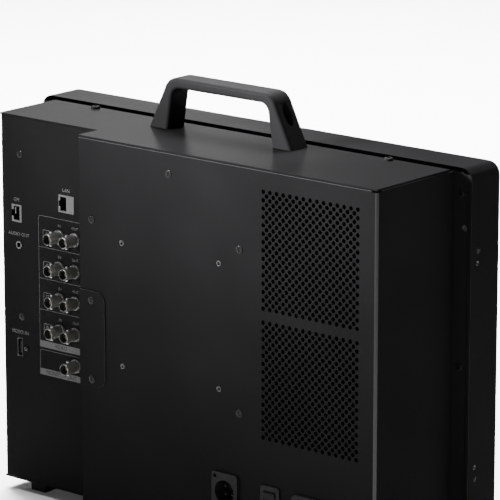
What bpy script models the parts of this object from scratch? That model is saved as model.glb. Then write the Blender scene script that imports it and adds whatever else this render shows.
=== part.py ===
"""A rack-width reference video monitor: screen housing, stepped rear box and carry handle.

Sizes are in millimetres and the model is built in metres. +Z is up, the screen faces -Y and the
connector panels face +Y. The origin is on the standing surface, under the middle of the monitor.
Heights on the rear box are given as drops below its top, and places along Y as depths in from
its rear face, because those two faces are what the sheet metal is folded from.
"""

import math

import bmesh
import bpy
from mathutils import Vector

MM = 0.001

# Clearances
gap = 0.3              # between pieces that touch
play = 0.3             # round a piece that moves in a hole

# Screen housing
housing_width = 442.0
housing_height = 310.0
housing_depth = 36.2
housing_corner = 10.0
housing_edge = 1.6     # rounding of the front edge
housing_wall = 3.0
front_plate = 2.8
back_plate = 2.0
back_groove = 0.8      # groove between the back plate and the housing wall
back_recess = 0.5

# Screen
side_bezel = 16.5
top_bezel = 17.0
chin = 63.0            # strip below the screen
glass_margin = 4.5
glass_thickness = 2.6
lcd_margin = 8.5
lcd_thickness = 11.0
tray_thickness = 1.5
tally_width = 50.0
tally_height = 4.0

# Rear box
flange_right = 16.9    # housing back showing beyond the plain side
flange_left = 19.5     # and beyond the connector side
panel_width = 107.1    # connector panel, from the step to the connector side
box_depth = 93.4       # from the rear face to the back of the housing
step_depth = 22.5      # from the rear face to the connector panel
box_inset = 1.5        # box top below the housing top, and bottom above its bottom
sheet = 1.5
fold = 3.0             # outer radius of a folded edge
channel_width = 5.2    # between the top cover and the housing
channel_drop = 9.5

# Feet
foot_height = 8.0
foot_width = 16.0
foot_inset = 49.0      # from the side of the housing to the middle of a foot
foot_start = 30.0
foot_stop = 3.6        # from the front of the housing

# Air outlets, fans
hole_pitch = 6.5
hole_columns = 15
grille_margin = 3.5    # from the middle of the outer holes to the edge of the grille
grille_side = (hole_columns - 1) * hole_pitch + 2 * grille_margin
grille_inset = 18.1    # from the plain side to the last column of holes
grille_web = 4.1       # between the outlets
outlet_drop = 14.4     # from the top of the box to the upper outlet
coarse_pitch = 13.0
coarse_hole = 9.4
fan_side = 92.0
fan_depth = 25.0
fan_start = 2.0
fan_bore = 43.2
boss_radius = 14.0
rotor_front = 2.5      # depth of the rotor's face inside the fan frame
rotor_depth = 17.0
blade_count = 7
blade_tip = 41.4

# Mounting plate holes
mount_pitch = 100.0
mount_hole = 2.2
mount_plate = 124.0

# Carry handle
handle_width = 146.6
handle_height = 42.0
handle_depth = 22.0
handle_setback = 17.95  # from the front of the top cover to the middle of the handle
handle_lean = 26.0     # degrees, outer side of each leg from the vertical
handle_inner_lean = 9.0
handle_leg = 20.0      # leg width at the base
handle_bar = 8.4
handle_round = 3.0
handle_screw_place = 60.8
handle_seat = 6.0      # height of the screw seat
screw_recess = 4.3

# Screws
cover_head = 3.1
cover_shank = 1.5
top_head = 3.8
handle_head = 3.5
handle_shank = 2.0

# Connectors
bnc_radius = 4.8
bnc_bore = 4.0
bnc_reach = 15.0
bnc_collar = 6.4
bnc_body = 6.0
bnc_row_drop = 93.6
bnc_row_pitch = 26.1
bnc_offset = 25.8      # from the step to the output jacks
bnc_pair = 17.1        # between an output jack and its input
bnc_rows = 4
signal_board_depth = 40.0
lan_offset = 35.5      # from the step
lan_drop = 65.8
gpi_offset = 16.5      # from the connector side
gpi_drop = 81.2
jack_height = 15.4
lan_width = 19.0
gpi_width = 12.8
audio_offset = 19.7    # from the connector side
audio_drop = 107.1
video_offset = 18.8    # from the connector side
video_drop = 193.3

# Access plate over the step edge
access_width = 27.0
access_top = 124.5
access_bottom = 202.7
access_thickness = 1.0
access_screw_inset = 13.4
access_screw_drops = {"upper": 132.0, "lower": 196.8}

# Power entry, low on the deep part
power_rise = 45.0      # above the bottom of the box
inlet_offset = 54.1    # from the plain side
switch_offset = 101.1
dc_offset = 146.1
flange_thickness = 2.5
rocker_radius = 9.2
rocker_face = 23.0     # degrees, raised end of the rocker above its hinge
rocker_tilt = 8.0      # degrees either side of level
rocker_width = 11.0
rocker_pivot = 1.0     # depth of its hinge

# Front controls
button_travel = 1.0
button_size = (16.0, 9.0)
button_pitch = 26.0
button_count = 4
button_reach = 1.5
button_flange = 1.2
power_button_inset = 25.0
power_button_radius = 6.0
knob_inset = 89.0
knob_radius = 11.0
knob_length = 14.0
knob_gap = 0.8
shaft_radius = 3.0
slot_inset = 71.0
slot_count = 5
slot_size = (52.0, 2.2)
slot_pitch = 5.2

# Where things come to
top_front = box_depth - channel_width
handle_place = top_front - handle_setback
active_width = housing_width - 2 * side_bezel
active_height = housing_height - top_bezel - chin
box_right = -(housing_width / 2 - flange_right)
box_left = housing_width / 2 - flange_left
box_step = box_left - panel_width
housing_bottom = foot_height
housing_top = housing_bottom + housing_height
box_top = housing_top - box_inset
box_bottom = housing_bottom + box_inset
rocker_reach = rocker_radius * math.sin(math.radians(rocker_face + rocker_tilt)) - rocker_pivot
total_depth = box_depth + housing_depth
front_reach = knob_gap + knob_length
rear_y = (total_depth + front_reach + rocker_reach) / 2 - rocker_reach
screen_z = housing_top - top_bezel - active_height / 2
chin_z = housing_bottom + chin / 2
plate_inner = total_depth - front_plate
mount_drop = box_top - screen_z + 0.4
last_row_drop = bnc_row_drop + bnc_rows * bnc_row_pitch + 0.3
grille_x = box_right + grille_inset + (hole_columns - 1) * hole_pitch / 2
grille_pitch = max(grille_side, fan_side) + grille_web
grille_drops = {
    "upper": outlet_drop + grille_side / 2,
    "lower": outlet_drop + grille_side / 2 + grille_pitch,
}
bnc_out_x = box_step + bnc_offset
bnc_in_x = bnc_out_x + bnc_pair
lan_x = box_step + lan_offset
gpi_x = box_left - gpi_offset
audio_x = box_left - audio_offset
video_x = box_left - video_offset
power_z = box_bottom + power_rise
inlet_x = box_right + inlet_offset
switch_x = box_right + switch_offset
dc_x = box_right + dc_offset
power_button_x = housing_width / 2 - power_button_inset
knob_x = housing_width / 2 - knob_inset
slot_x = -(housing_width / 2 - slot_inset)
foot_x = housing_width / 2 - foot_inset
foot_end = total_depth - foot_stop


def at_depth(depth):
    """Y of a place given by its depth in from the rear face."""
    return rear_y - depth


def at_drop(drop):
    """Z of a place given by its drop below the top of the rear box."""
    return box_top - drop


# Finishes ---------------------------------------------------------------------------------


def finish(name, colour, roughness, metallic=0.0, alpha=1.0):
    """A Principled BSDF material."""
    material = bpy.data.materials.new(name)
    material.use_nodes = True
    shader = material.node_tree.nodes["Principled BSDF"]
    shader.inputs["Base Color"].default_value = (*colour, 1.0)
    shader.inputs["Roughness"].default_value = roughness
    shader.inputs["Metallic"].default_value = metallic
    shader.inputs["Alpha"].default_value = alpha
    material.diffuse_color = (*colour, alpha)
    return material


for leftover in list(bpy.data.objects):
    bpy.data.objects.remove(leftover, do_unlink=True)

black_coat = finish("black_coat", (0.022, 0.022, 0.023), 0.42)
handle_coat = finish("handle_coat", (0.03, 0.03, 0.031), 0.4)
black_plastic = finish("black_plastic", (0.015, 0.015, 0.016), 0.5)
black_screw = finish("black_screw", (0.03, 0.03, 0.03), 0.35, 0.8)
bright_plate = finish("bright_plate", (0.62, 0.61, 0.58), 0.25, 1.0)
raw_steel = finish("raw_steel", (0.5, 0.5, 0.5), 0.4, 1.0)
raw_aluminium = finish("raw_aluminium", (0.65, 0.65, 0.66), 0.45, 1.0)
screen_surface = finish("screen_surface", (0.01, 0.011, 0.013), 0.15)
panel_glass = finish("panel_glass", (0.02, 0.02, 0.022), 0.08)
lens_plastic = finish("lens_plastic", (0.7, 0.7, 0.7), 0.3)
board_green = finish("board_green", (0.02, 0.14, 0.06), 0.5)
rubber = finish("rubber", (0.012, 0.012, 0.012), 0.8)


# Shapes, in millimetres -------------------------------------------------------------------


def place(axis, a, b, height):
    """A point from its two coordinates across an axis and its height along it."""
    return {"X": (height, a, b), "Y": (a, height, b), "Z": (a, b, height)}[axis]


def loft(shape, rings):
    """Add a closed body through rings of points, with a flat cap on each end."""
    layers = [[shape.verts.new(point) for point in ring] for ring in rings]
    count = len(rings[0])
    for lower, upper in zip(layers, layers[1:]):
        for i in range(count):
            j = (i + 1) % count
            shape.faces.new((lower[i], lower[j], upper[j], upper[i]))
    shape.faces.new(list(reversed(layers[0])))
    shape.faces.new(layers[-1])


def prism(shape, outline, axis, start, end):
    """Add a flat outline extruded along an axis."""
    loft(shape, [[place(axis, a, b, h) for a, b in outline] for h in (start, end)])


def block(shape, x, y, z):
    """Add a box between two X, two Y and two Z values."""
    outline = [(x[0], y[0]), (x[1], y[0]), (x[1], y[1]), (x[0], y[1])]
    prism(shape, outline, "Z", z[0], z[1])


def turn(shape, profile, axis, centre, segments=24):
    """Add a profile of (radius, height) points turned round an axis, from axis to axis."""
    across = [i for i in range(3) if i != "XYZ".index(axis)]
    rings = []
    for radius, height in profile:
        count = segments if radius > 0 else 1
        ring = []
        for k in range(count):
            angle = math.tau * k / segments
            a = centre[across[0]] + radius * math.cos(angle)
            b = centre[across[1]] + radius * math.sin(angle)
            ring.append(shape.verts.new(place(axis, a, b, centre["XYZ".index(axis)] + height)))
        rings.append(ring)
    for lower, upper in zip(rings, rings[1:]):
        for i in range(segments):
            j = (i + 1) % segments
            corners = [
                lower[i % len(lower)], lower[j % len(lower)],
                upper[j % len(upper)], upper[i % len(upper)],
            ]
            shape.faces.new(list(dict.fromkeys(corners)))


def rod(shape, axis, centre, radius, start, end, segments=16):
    """Add a plain cylinder between two heights, counted from the centre point."""
    turn(shape, [(0, start), (radius, start), (radius, end), (0, end)], axis, centre, segments)


def rounded(corners, steps=4):
    """A closed outline through (a, b, radius) corners, with an arc at each that has a radius."""
    outline = []
    count = len(corners)
    for i, (a, b, radius) in enumerate(corners):
        corner = Vector((a, b))
        if radius == 0:
            outline.append((a, b))
            continue
        before = (Vector(corners[i - 1][:2]) - corner).normalized()
        after = (Vector(corners[(i + 1) % count][:2]) - corner).normalized()
        half = before.angle(after) / 2
        middle = corner + (before + after).normalized() * (radius / math.sin(half))
        start = corner + before * (radius / math.tan(half)) - middle
        end = corner + after * (radius / math.tan(half)) - middle
        sweep = start.angle_signed(end)
        for k in range(steps + 1):
            angle = -sweep * k / steps
            turned = (
                start.x * math.cos(angle) - start.y * math.sin(angle),
                start.x * math.sin(angle) + start.y * math.cos(angle),
            )
            outline.append((middle.x + turned[0], middle.y + turned[1]))
    return outline


def rectangle(width, height, radius=0.0, centre=(0.0, 0.0), steps=4):
    """A centred rectangle outline with rounded corners."""
    x, y = width / 2, height / 2
    a, b = centre
    corners = [(a - x, b - y), (a + x, b - y), (a + x, b + y), (a - x, b + y)]
    return rounded([(*corner, radius) for corner in corners], steps)


# Objects ----------------------------------------------------------------------------------


def solid(name, shape, material=None, at=(0.0, 0.0, 0.0), smooth=True):
    """Make a named object of a shape that was drawn round `at`."""
    bmesh.ops.translate(shape, verts=shape.verts, vec=-Vector(at))
    bmesh.ops.scale(shape, verts=shape.verts, vec=(MM, MM, MM))
    bmesh.ops.recalc_face_normals(shape, faces=shape.faces)
    mesh = bpy.data.meshes.new(name)
    shape.to_mesh(mesh)
    shape.free()
    if material:
        mesh.materials.append(material)
    if smooth:
        mesh.shade_smooth()
        mesh.set_sharp_from_angle(angle=math.radians(35))
    made = bpy.data.objects.new(name, mesh)
    made.location = Vector(at) * MM
    bpy.context.collection.objects.link(made)
    return made


def combine(target, shape, operation="DIFFERENCE"):
    """Cut a shape out of an object, or join it on."""
    name = f"{target.name}.{operation.lower()}"
    tool = solid(name, shape, smooth=False)
    tool.hide_render = True
    tool.display_type = "WIRE"
    modifier = target.modifiers.new(name, "BOOLEAN")
    modifier.operation = operation
    modifier.object = tool


def screw(name, place_at, axis, outward, head, shank, length, head_height=1.6, seat=gap):
    """A round-headed screw standing a small gap off the face under its head."""
    shape = bmesh.new()
    profile = [
        (0, -length), (shank, -length), (shank, seat), (head, seat),
        (head, seat + head_height * 0.5), (head * 0.72, seat + head_height),
        (0, seat + head_height),
    ]
    turn(shape, [(r, h * outward) for r, h in profile], axis, place_at, 16)
    return solid(name, shape, black_screw, at=place_at)


# Screen housing ---------------------------------------------------------------------------


def controls_on_front():
    """Names, X places and outlines of the pieces that show through the chin."""
    width, height = button_size
    first = -(button_count - 1) * button_pitch / 2
    for i in range(button_count):
        x = first + i * button_pitch
        yield f"function_button_{i + 1}", x, lambda grow, x=x: rectangle(
            width + 2 * grow, height + 2 * grow, 2.0 + grow, (x, chin_z)
        )
    side = 2 * power_button_radius
    yield "power_button", power_button_x, lambda grow: rectangle(
        side + 2 * grow, side + 2 * grow, power_button_radius + grow - 0.01,
        (power_button_x, chin_z),
    )


def front_housing():
    """Cast tub: the front plate and the wall round it, open to the rear."""
    middle = (0.0, housing_bottom + housing_height / 2)
    shape = bmesh.new()
    steps = 3
    rings = []
    insets = [(box_depth, 0.0)]
    for k in range(steps + 1):
        angle = math.pi / 2 * k / steps
        inset = housing_edge * (1 - math.cos(angle))
        insets.append((total_depth - housing_edge * (1 - math.sin(angle)), inset))
    for depth, inset in insets:
        outline = rectangle(
            housing_width - 2 * inset, housing_height - 2 * inset,
            housing_corner - inset, middle, 5,
        )
        rings.append([(x, at_depth(depth), z) for x, z in outline])
    loft(shape, rings)
    tub = solid("front_housing", shape, black_coat)

    hollow = bmesh.new()
    outline = rectangle(
        housing_width - 2 * housing_wall, housing_height - 2 * housing_wall,
        housing_corner - housing_wall, middle, 5,
    )
    prism(hollow, outline, "Y", at_depth(box_depth - 5), at_depth(plate_inner))
    combine(tub, hollow)

    through = (at_depth(total_depth + 5), at_depth(plate_inner - 1))
    holes = bmesh.new()
    prism(holes, rectangle(active_width, active_height, 0, (0, screen_z)), "Y", *through)
    tally = rectangle(
        tally_width + 2 * gap, tally_height + 2 * gap, 1.5, (0, housing_top - top_bezel / 2), 2
    )
    prism(holes, tally, "Y", *through)
    for _, _, outline in controls_on_front():
        prism(holes, outline(play), "Y", *through)
    rod(holes, "Y", (knob_x, 0, chin_z), shaft_radius + play, *through)
    for k in range(slot_count):
        z = chin_z + (k - (slot_count - 1) / 2) * slot_pitch
        prism(holes, rectangle(*slot_size, 1.0, (slot_x, z), 2), "Y", *through)
    combine(tub, holes)


def housing_back():
    """Flat plate closing the tub round the rear box, let into its edge."""
    wide = housing_width - 2 * (housing_wall + back_groove)
    high = housing_height - 2 * (housing_wall + back_groove)
    corner = housing_corner - housing_wall - back_groove
    middle_z = housing_bottom + housing_height / 2
    start = box_depth + back_recess
    shape = bmesh.new()
    prism(
        shape, rectangle(wide, high, corner, (0, middle_z), 4),
        "Y", at_depth(start), at_depth(start + back_plate),
    )
    plate = solid("housing_back", shape, black_coat)
    opening = bmesh.new()
    rim = 14.0
    block(
        opening, (box_right + rim, box_left - rim),
        (at_depth(start - 5), at_depth(start + back_plate + 5)),
        (box_bottom + rim, box_top - rim),
    )
    combine(plate, opening)


def screen():
    """Glass, display panel and the tray that holds it."""
    glass_front = plate_inner - gap
    glass_back = glass_front - glass_thickness
    lcd_front = glass_back - gap
    lcd_back = lcd_front - lcd_thickness
    tray_front = lcd_back - gap
    layers = (
        ("screen_glass", glass_margin, glass_back, glass_front, panel_glass),
        ("lcd_panel", lcd_margin, lcd_back, lcd_front, screen_surface),
    )
    for name, margin, back, front, material in layers:
        shape = bmesh.new()
        outline = rectangle(
            active_width + 2 * margin, active_height + 2 * margin, 1.0, (0, screen_z), 2
        )
        prism(shape, outline, "Y", at_depth(back), at_depth(front))
        solid(name, shape, material)
    tray = bmesh.new()
    inside = 2 * (housing_wall + 1.5)
    prism(
        tray,
        rectangle(
            housing_width - inside, housing_height - inside, 4.0,
            (0, housing_bottom + housing_height / 2), 2,
        ),
        "Y", at_depth(tray_front - tray_thickness), at_depth(tray_front),
    )
    plate = solid("panel_tray", tray, raw_steel)
    cable_ways = bmesh.new()
    for x in (-120.0, 120.0):
        block(
            cable_ways, (x - 30, x + 30), (at_depth(tray_front + 5), at_depth(tray_front - 5)),
            (chin_z - 9, chin_z + 9),
        )
    combine(plate, cable_ways)


def tally_lens():
    """Light bar in the top of the front plate."""
    z = housing_top - top_bezel / 2
    shape = bmesh.new()
    outline = rectangle(tally_width, tally_height, 1.2, (0, z), 2)
    prism(shape, outline, "Y", at_depth(plate_inner - 0.8), at_depth(total_depth - 0.2))
    solid("tally_lens", shape, lens_plastic)


def front_controls():
    """Push buttons with a flange behind the front plate, and the menu knob on its shaft."""
    flange_front = plate_inner - gap
    flange_back = flange_front - button_flange
    for name, x, outline in controls_on_front():
        shape = bmesh.new()
        prism(shape, outline(1.0), "Y", at_depth(flange_back), at_depth(flange_front))
        button = solid(name, shape, black_plastic, at=(x, at_depth(flange_front), chin_z))
        cap = bmesh.new()
        rings = []
        for depth, grow in (
            (flange_back + 0.4, 0.0),
            (total_depth + button_reach - 0.6, 0.0),
            (total_depth + button_reach, -0.6),
        ):
            rings.append([(a, at_depth(depth), b) for a, b in outline(grow)])
        loft(cap, rings)
        rod(cap, "Y", (x, at_depth(flange_back), chin_z), 2.0, -0.4, 2.2, 10)
        combine(button, cap, "UNION")

    shaft_back = flange_back - 1.5
    shaft_front = total_depth + knob_gap + knob_length - 3.2
    shape = bmesh.new()
    profile = [
        (0, shaft_front), (shaft_radius, shaft_front), (shaft_radius, flange_front),
        (shaft_radius + 1.6, flange_front), (shaft_radius + 1.6, flange_back),
        (shaft_radius, flange_back), (shaft_radius, shaft_back), (0, shaft_back),
    ]
    turn(shape, [(r, -h) for r, h in profile], "Y", (knob_x, rear_y, chin_z), 20)
    solid("encoder_shaft", shape, raw_steel, at=(knob_x, at_depth(total_depth), chin_z))

    knob_back = total_depth + knob_gap
    knob_front = knob_back + knob_length
    bore = shaft_radius + play
    shape = bmesh.new()
    profile = [
        (0, knob_front), (knob_radius - 1.0, knob_front), (knob_radius, knob_front - 1.0),
        (knob_radius, knob_back), (bore, knob_back), (bore, shaft_front + play),
        (0, shaft_front + play),
    ]
    turn(shape, [(r, -h) for r, h in profile], "Y", (knob_x, rear_y, chin_z), 32)
    solid("menu_knob", shape, black_plastic, at=(knob_x, at_depth(knob_back), chin_z))


def control_board():
    """Circuit board behind the chin, with a block for each switch."""
    front = plate_inner - gap - button_flange - 2.2 - button_travel - 0.7
    shape = bmesh.new()
    block(
        shape, (-100.0, power_button_x + 12), (at_depth(front), at_depth(front - 1.6)),
        (chin_z - 18, chin_z + 16),
    )
    board = solid("control_board", shape, board_green)
    parts = bmesh.new()
    for x in (-80.0, 70.0, 165.0):
        block(
            parts, (x - 9, x + 9), (at_depth(front - 1.0), at_depth(front - 4.5)),
            (chin_z - 7, chin_z + 7),
        )
    combine(board, parts, "UNION")


# Rear box ---------------------------------------------------------------------------------


def rear_cover():
    """Folded sheet: the deep rear face, the plain side and the short step wall."""
    end = box_depth - gap
    step_end = step_depth + sheet
    inner = fold - sheet
    outline = rounded([
        (box_right, at_depth(end), 0), (box_right, rear_y, fold), (box_step, rear_y, fold),
        (box_step, at_depth(step_end), 0), (box_step - sheet, at_depth(step_end), 0),
        (box_step - sheet, at_depth(sheet), inner), (box_right + sheet, at_depth(sheet), inner),
        (box_right + sheet, at_depth(end), 0),
    ])
    shape = bmesh.new()
    prism(shape, outline, "Z", box_bottom + sheet + gap, box_top - sheet - gap)
    cover = solid("rear_cover", shape, black_coat)

    through = (at_depth(-5.0), at_depth(sheet + 5.0))
    holes = bmesh.new()
    side = grille_side + 2 * gap
    for drop in grille_drops.values():
        window = rectangle(side, side, 0, (grille_x, at_drop(drop)))
        prism(holes, window, "Y", *through)
    for x in (-mount_pitch / 2, mount_pitch / 2):
        for drop in (mount_drop - mount_pitch / 2, mount_drop + mount_pitch / 2):
            rod(holes, "Y", (x, 0, at_drop(drop)), mount_hole, *through, 12)
    for x, drop in [*cover_screw_places(), *access_screw_places()]:
        rod(holes, "Y", (x, 0, at_drop(drop)), cover_shank + gap, *through, 12)
    for x, outline in power_cutouts():
        prism(holes, [(x + a, power_z + b) for a, b in outline], "Y", *through)
    combine(cover, holes)


def cover_screw_places():
    """X and drop of the screws that hold the rear cover, one high and one on each side."""
    side_drop = 66.4
    return [(0.0, 18.2), (box_step - access_screw_inset, side_drop), (-71.5, side_drop)]


def access_screw_places():
    """X and drop of the screws that hold the access plate."""
    return [(box_step - access_screw_inset, drop) for drop in access_screw_drops.values()]


def connector_panel():
    """Folded sheet: the set-back connector face and the side beyond it."""
    end = box_depth - gap
    face = at_depth(step_depth)
    inside = at_depth(step_depth + sheet)
    outline = rounded([
        (box_step + gap, face, 0), (box_left, face, fold), (box_left, at_depth(end), 0),
        (box_left - sheet, at_depth(end), 0), (box_left - sheet, inside, fold - sheet),
        (box_step + gap, inside, 0),
    ])
    shape = bmesh.new()
    prism(shape, outline, "Z", box_bottom + sheet + gap, box_top - sheet - gap)
    panel = solid("connector_panel", shape, black_coat)

    through = (face + 5.0, inside - 5.0)
    holes = bmesh.new()
    for _, x, drop in bnc_places():
        rod(holes, "Y", (x, 0, at_drop(drop)), bnc_radius + gap, *through, 16)
    for x, drop, width in ((lan_x, lan_drop, lan_width), (gpi_x, gpi_drop, gpi_width)):
        window = rectangle(width + 2 * gap, jack_height + 2 * gap, 0, (x, at_drop(drop)))
        prism(holes, window, "Y", *through)
    rod(holes, "Y", (audio_x, 0, at_drop(audio_drop)), 3.0 + gap, *through, 12)
    window = rectangle(5.4 + 2 * gap, 15.0 + 2 * gap, 0, (video_x, at_drop(video_drop)))
    prism(holes, window, "Y", *through)
    combine(panel, holes)


def box_outline(grow, front):
    """The stepped outline of the rear box seen from above, up to a depth towards the screen."""
    return [
        (box_right, at_depth(front)), (box_right, rear_y), (box_step + grow, rear_y),
        (box_step + grow, at_depth(step_depth)), (box_left, at_depth(step_depth)),
        (box_left, at_depth(front)),
    ]


def top_cover():
    """Flat lid with a channel folded along its front edge, short of the housing."""
    end = box_depth - gap
    shape = bmesh.new()
    prism(shape, box_outline(0.0, top_front), "Z", box_top - sheet, box_top)
    lid = solid("top_cover", shape, black_coat)
    inside = (box_right + sheet + gap, box_left - sheet - gap)
    floor = box_top - channel_drop
    channel = bmesh.new()
    profile = [
        (at_depth(top_front), box_top - sheet / 2), (at_depth(top_front), floor + sheet),
        (at_depth(end), floor + sheet), (at_depth(end), floor),
        (at_depth(top_front - sheet), floor), (at_depth(top_front - sheet), box_top - sheet / 2),
    ]
    prism(channel, profile, "X", *inside)
    combine(lid, channel, "UNION")
    holes = bmesh.new()
    for x in (-handle_screw_place, handle_screw_place):
        rod(holes, "Z", (x, at_depth(handle_place), box_top), handle_shank + gap, -5, 5, 12)
    for x, depth in top_screw_places().values():
        rod(holes, "Z", (x, at_depth(depth), box_top), cover_shank + gap, -5, 5, 12)
    combine(lid, holes)


def top_screw_places():
    """X and depth of the two large-headed screws at the front of the lid."""
    depth = top_front - 4.4
    return {"left": (box_left - 48.9, depth), "right": (box_right + 55.1, depth)}


def bottom_cover():
    """Flat floor with two rows of air inlets."""
    end = box_depth - gap
    shape = bmesh.new()
    prism(shape, box_outline(0.0, end), "Z", box_bottom, box_bottom + sheet)
    floor = solid("bottom_cover", shape, black_coat)
    slots = bmesh.new()
    count, pitch, width = 12, 11.0, 4.5
    for depth in (38.0, 70.0):
        for k in range(count):
            x = (k - (count - 1) / 2) * pitch
            block(
                slots, (x - width / 2, x + width / 2),
                (at_depth(depth + 11), at_depth(depth - 11)), (box_bottom - 5, box_bottom + 5),
            )
    combine(floor, slots)


def grilles():
    """Perforated plates in the rear face, each with a square pattern of through openings."""
    count = int(grille_side / coarse_pitch)
    for name, drop in grille_drops.items():
        centre = (grille_x, at_drop(drop))
        shape = bmesh.new()
        outline = rectangle(grille_side, grille_side, 0, centre)
        prism(shape, outline, "Y", at_depth(sheet), rear_y)
        plate = solid(f"grille_{name}", shape, black_coat)
        holes = bmesh.new()
        for i in range(count):
            for j in range(count):
                a = centre[0] + (i - (count - 1) / 2) * coarse_pitch
                b = centre[1] + (j - (count - 1) / 2) * coarse_pitch
                outline = rectangle(coarse_hole, coarse_hole, 0, (a, b))
                prism(holes, outline, "Y", at_depth(sheet + 5), at_depth(-5))
        combine(plate, holes)


def feet():
    """Two rubber runners under the housing and the box."""
    for name, x in (("foot_left", foot_x), ("foot_right", -foot_x)):
        change = box_depth - 2.0
        outline = [
            (at_depth(foot_start), 0.0), (at_depth(foot_end), 0.0),
            (at_depth(foot_end), housing_bottom - gap), (at_depth(change), housing_bottom - gap),
            (at_depth(change), box_bottom - gap), (at_depth(foot_start), box_bottom - gap),
        ]
        shape = bmesh.new()
        prism(shape, outline, "X", x - foot_width / 2, x + foot_width / 2)
        solid(name, shape, rubber)


# Handle -----------------------------------------------------------------------------------


def carry_handle():
    """Cast handle: two spreading legs and a flat bar, with a screw well in each leg."""
    half = handle_width / 2
    lean = math.tan(math.radians(handle_lean))
    inner_lean = math.tan(math.radians(handle_inner_lean))
    below = 6.0        # the legs are drawn too long, rounded, then cut flat
    under_bar = handle_height - handle_bar
    inner = half - handle_leg
    corners = [
        (half + below * lean, -below, 0), (half - handle_height * lean, handle_height, 13.0),
        (-half + handle_height * lean, handle_height, 13.0), (-half - below * lean, -below, 0),
        (-inner - below * inner_lean, -below, 0), (-inner + under_bar * inner_lean, under_bar, 8.0),
        (inner - under_bar * inner_lean, under_bar, 8.0), (inner + below * inner_lean, -below, 0),
    ]
    base = box_top + gap
    outline = [(a, base + b) for a, b in rounded(corners, 6)]
    y = at_depth(handle_place)
    shape = bmesh.new()
    prism(shape, outline, "Y", y - handle_depth / 2, y + handle_depth / 2)
    handle = solid("carry_handle", shape, handle_coat)
    edges = handle.modifiers.new("rounded_edges", "BEVEL")
    edges.width = handle_round * MM
    edges.segments = 3
    edges.limit_method = "ANGLE"
    edges.angle_limit = math.radians(50)

    cuts = bmesh.new()
    block(cuts, (-half - 20, half + 20), (y - 30, y + 30), (base - 2 * below, base))
    combine(handle, cuts)
    wells = bmesh.new()
    for x in (-handle_screw_place, handle_screw_place):
        bore = handle_shank + gap
        profile = [
            (0, -2.0), (bore, -2.0), (bore, handle_seat), (screw_recess, handle_seat),
            (screw_recess, handle_height), (0, handle_height),
        ]
        turn(wells, profile, "Z", (x, y, base), 20)
    combine(handle, wells)


def handle_fixings():
    """The screws down through the legs, and the bar under the lid that they pull against."""
    y = at_depth(handle_place)
    top = box_top - sheet - gap
    shape = bmesh.new()
    outline = rectangle(2 * handle_screw_place + 24, 22, 0, (0, y))
    prism(shape, outline, "Z", top - 3.0, top)
    bar = solid("handle_bracket", shape, raw_steel)
    holes = bmesh.new()
    for x in (-handle_screw_place, handle_screw_place):
        rod(holes, "Z", (x, y, top), handle_shank + gap, -8, 5, 12)
    combine(bar, holes)
    seat = box_top + gap + handle_seat
    for name, x in (("left", handle_screw_place), ("right", -handle_screw_place)):
        head = bmesh.new()
        profile = [
            (0, -15.0), (handle_shank, -15.0), (handle_shank, gap), (handle_head, gap),
            (handle_head, 4.0), (1.7, 4.0), (1.7, 2.2), (0, 2.2),
        ]
        turn(head, profile, "Z", (x, y, seat), 16)
        solid(f"handle_screw_{name}", head, black_screw, at=(x, y, seat))


# Screws and plates on the outside ---------------------------------------------------------


def outside_screws():
    """The screws that show on the rear cover, the access plate and the lid."""
    for i, (x, drop) in enumerate(cover_screw_places()):
        screw(
            f"cover_screw_{i + 1}", (x, rear_y, at_drop(drop)), "Y", 1,
            cover_head, cover_shank, 7.0,
        )
    plate_face = gap + access_thickness
    for name, (x, drop) in zip(access_screw_drops, access_screw_places()):
        screw(
            f"access_screw_{name}", (x, rear_y + plate_face, at_drop(drop)), "Y", 1,
            cover_head, cover_shank, 8.0, head_height=1.4,
        )
    for name, (x, depth) in top_screw_places().items():
        screw(
            f"top_screw_{name}", (x, at_depth(depth), box_top), "Z", 1,
            top_head, cover_shank, 7.0, head_height=2.0,
        )


def access_plate():
    """Small cover screwed over the end of the deep part, beside the connectors."""
    shape = bmesh.new()
    left = box_step - gap
    outline = rounded([
        (box_step - access_width, at_drop(access_bottom), 8.0),
        (left, at_drop(access_bottom), 0), (left, at_drop(access_top), 0),
        (box_step - access_width, at_drop(access_top), 8.0),
    ])
    prism(shape, outline, "Y", rear_y + gap, rear_y + gap + access_thickness)
    plate = solid("access_plate", shape, black_coat)
    holes = bmesh.new()
    for x, drop in access_screw_places():
        rod(holes, "Y", (x, rear_y, at_drop(drop)), cover_shank + gap, -3, 6, 12)
    combine(plate, holes)


def vesa_bracket():
    """Thick plate inside the rear face that takes the load of a wall or arm mount."""
    shape = bmesh.new()
    start = sheet + gap
    middle = (0, at_drop(mount_drop))
    outline = rectangle(mount_plate, mount_plate, 6.0, middle, 3)
    prism(shape, outline, "Y", at_depth(start + 3.0), at_depth(start))
    plate = solid("vesa_bracket", shape, raw_steel)
    holes = bmesh.new()
    for x in (-mount_pitch / 2, mount_pitch / 2):
        for z in (-mount_pitch / 2, mount_pitch / 2):
            rod(holes, "Y", (x, rear_y, middle[1] + z), mount_hole, -10, 5, 12)
    prism(
        holes, rectangle(60, 60, 0, middle), "Y", at_depth(start + 8.0), at_depth(start - 5.0)
    )
    combine(plate, holes)


# Connectors -------------------------------------------------------------------------------


def bnc_places():
    """Name, X and drop of each coaxial jack: four input and output pairs, then one more."""
    for row in range(bnc_rows):
        drop = bnc_row_drop + row * bnc_row_pitch
        yield f"bnc_in_{row + 1}", bnc_in_x, drop
        yield f"bnc_out_{row + 1}", bnc_out_x, drop
    yield "bnc_monitor_out", bnc_out_x, last_row_drop


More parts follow.
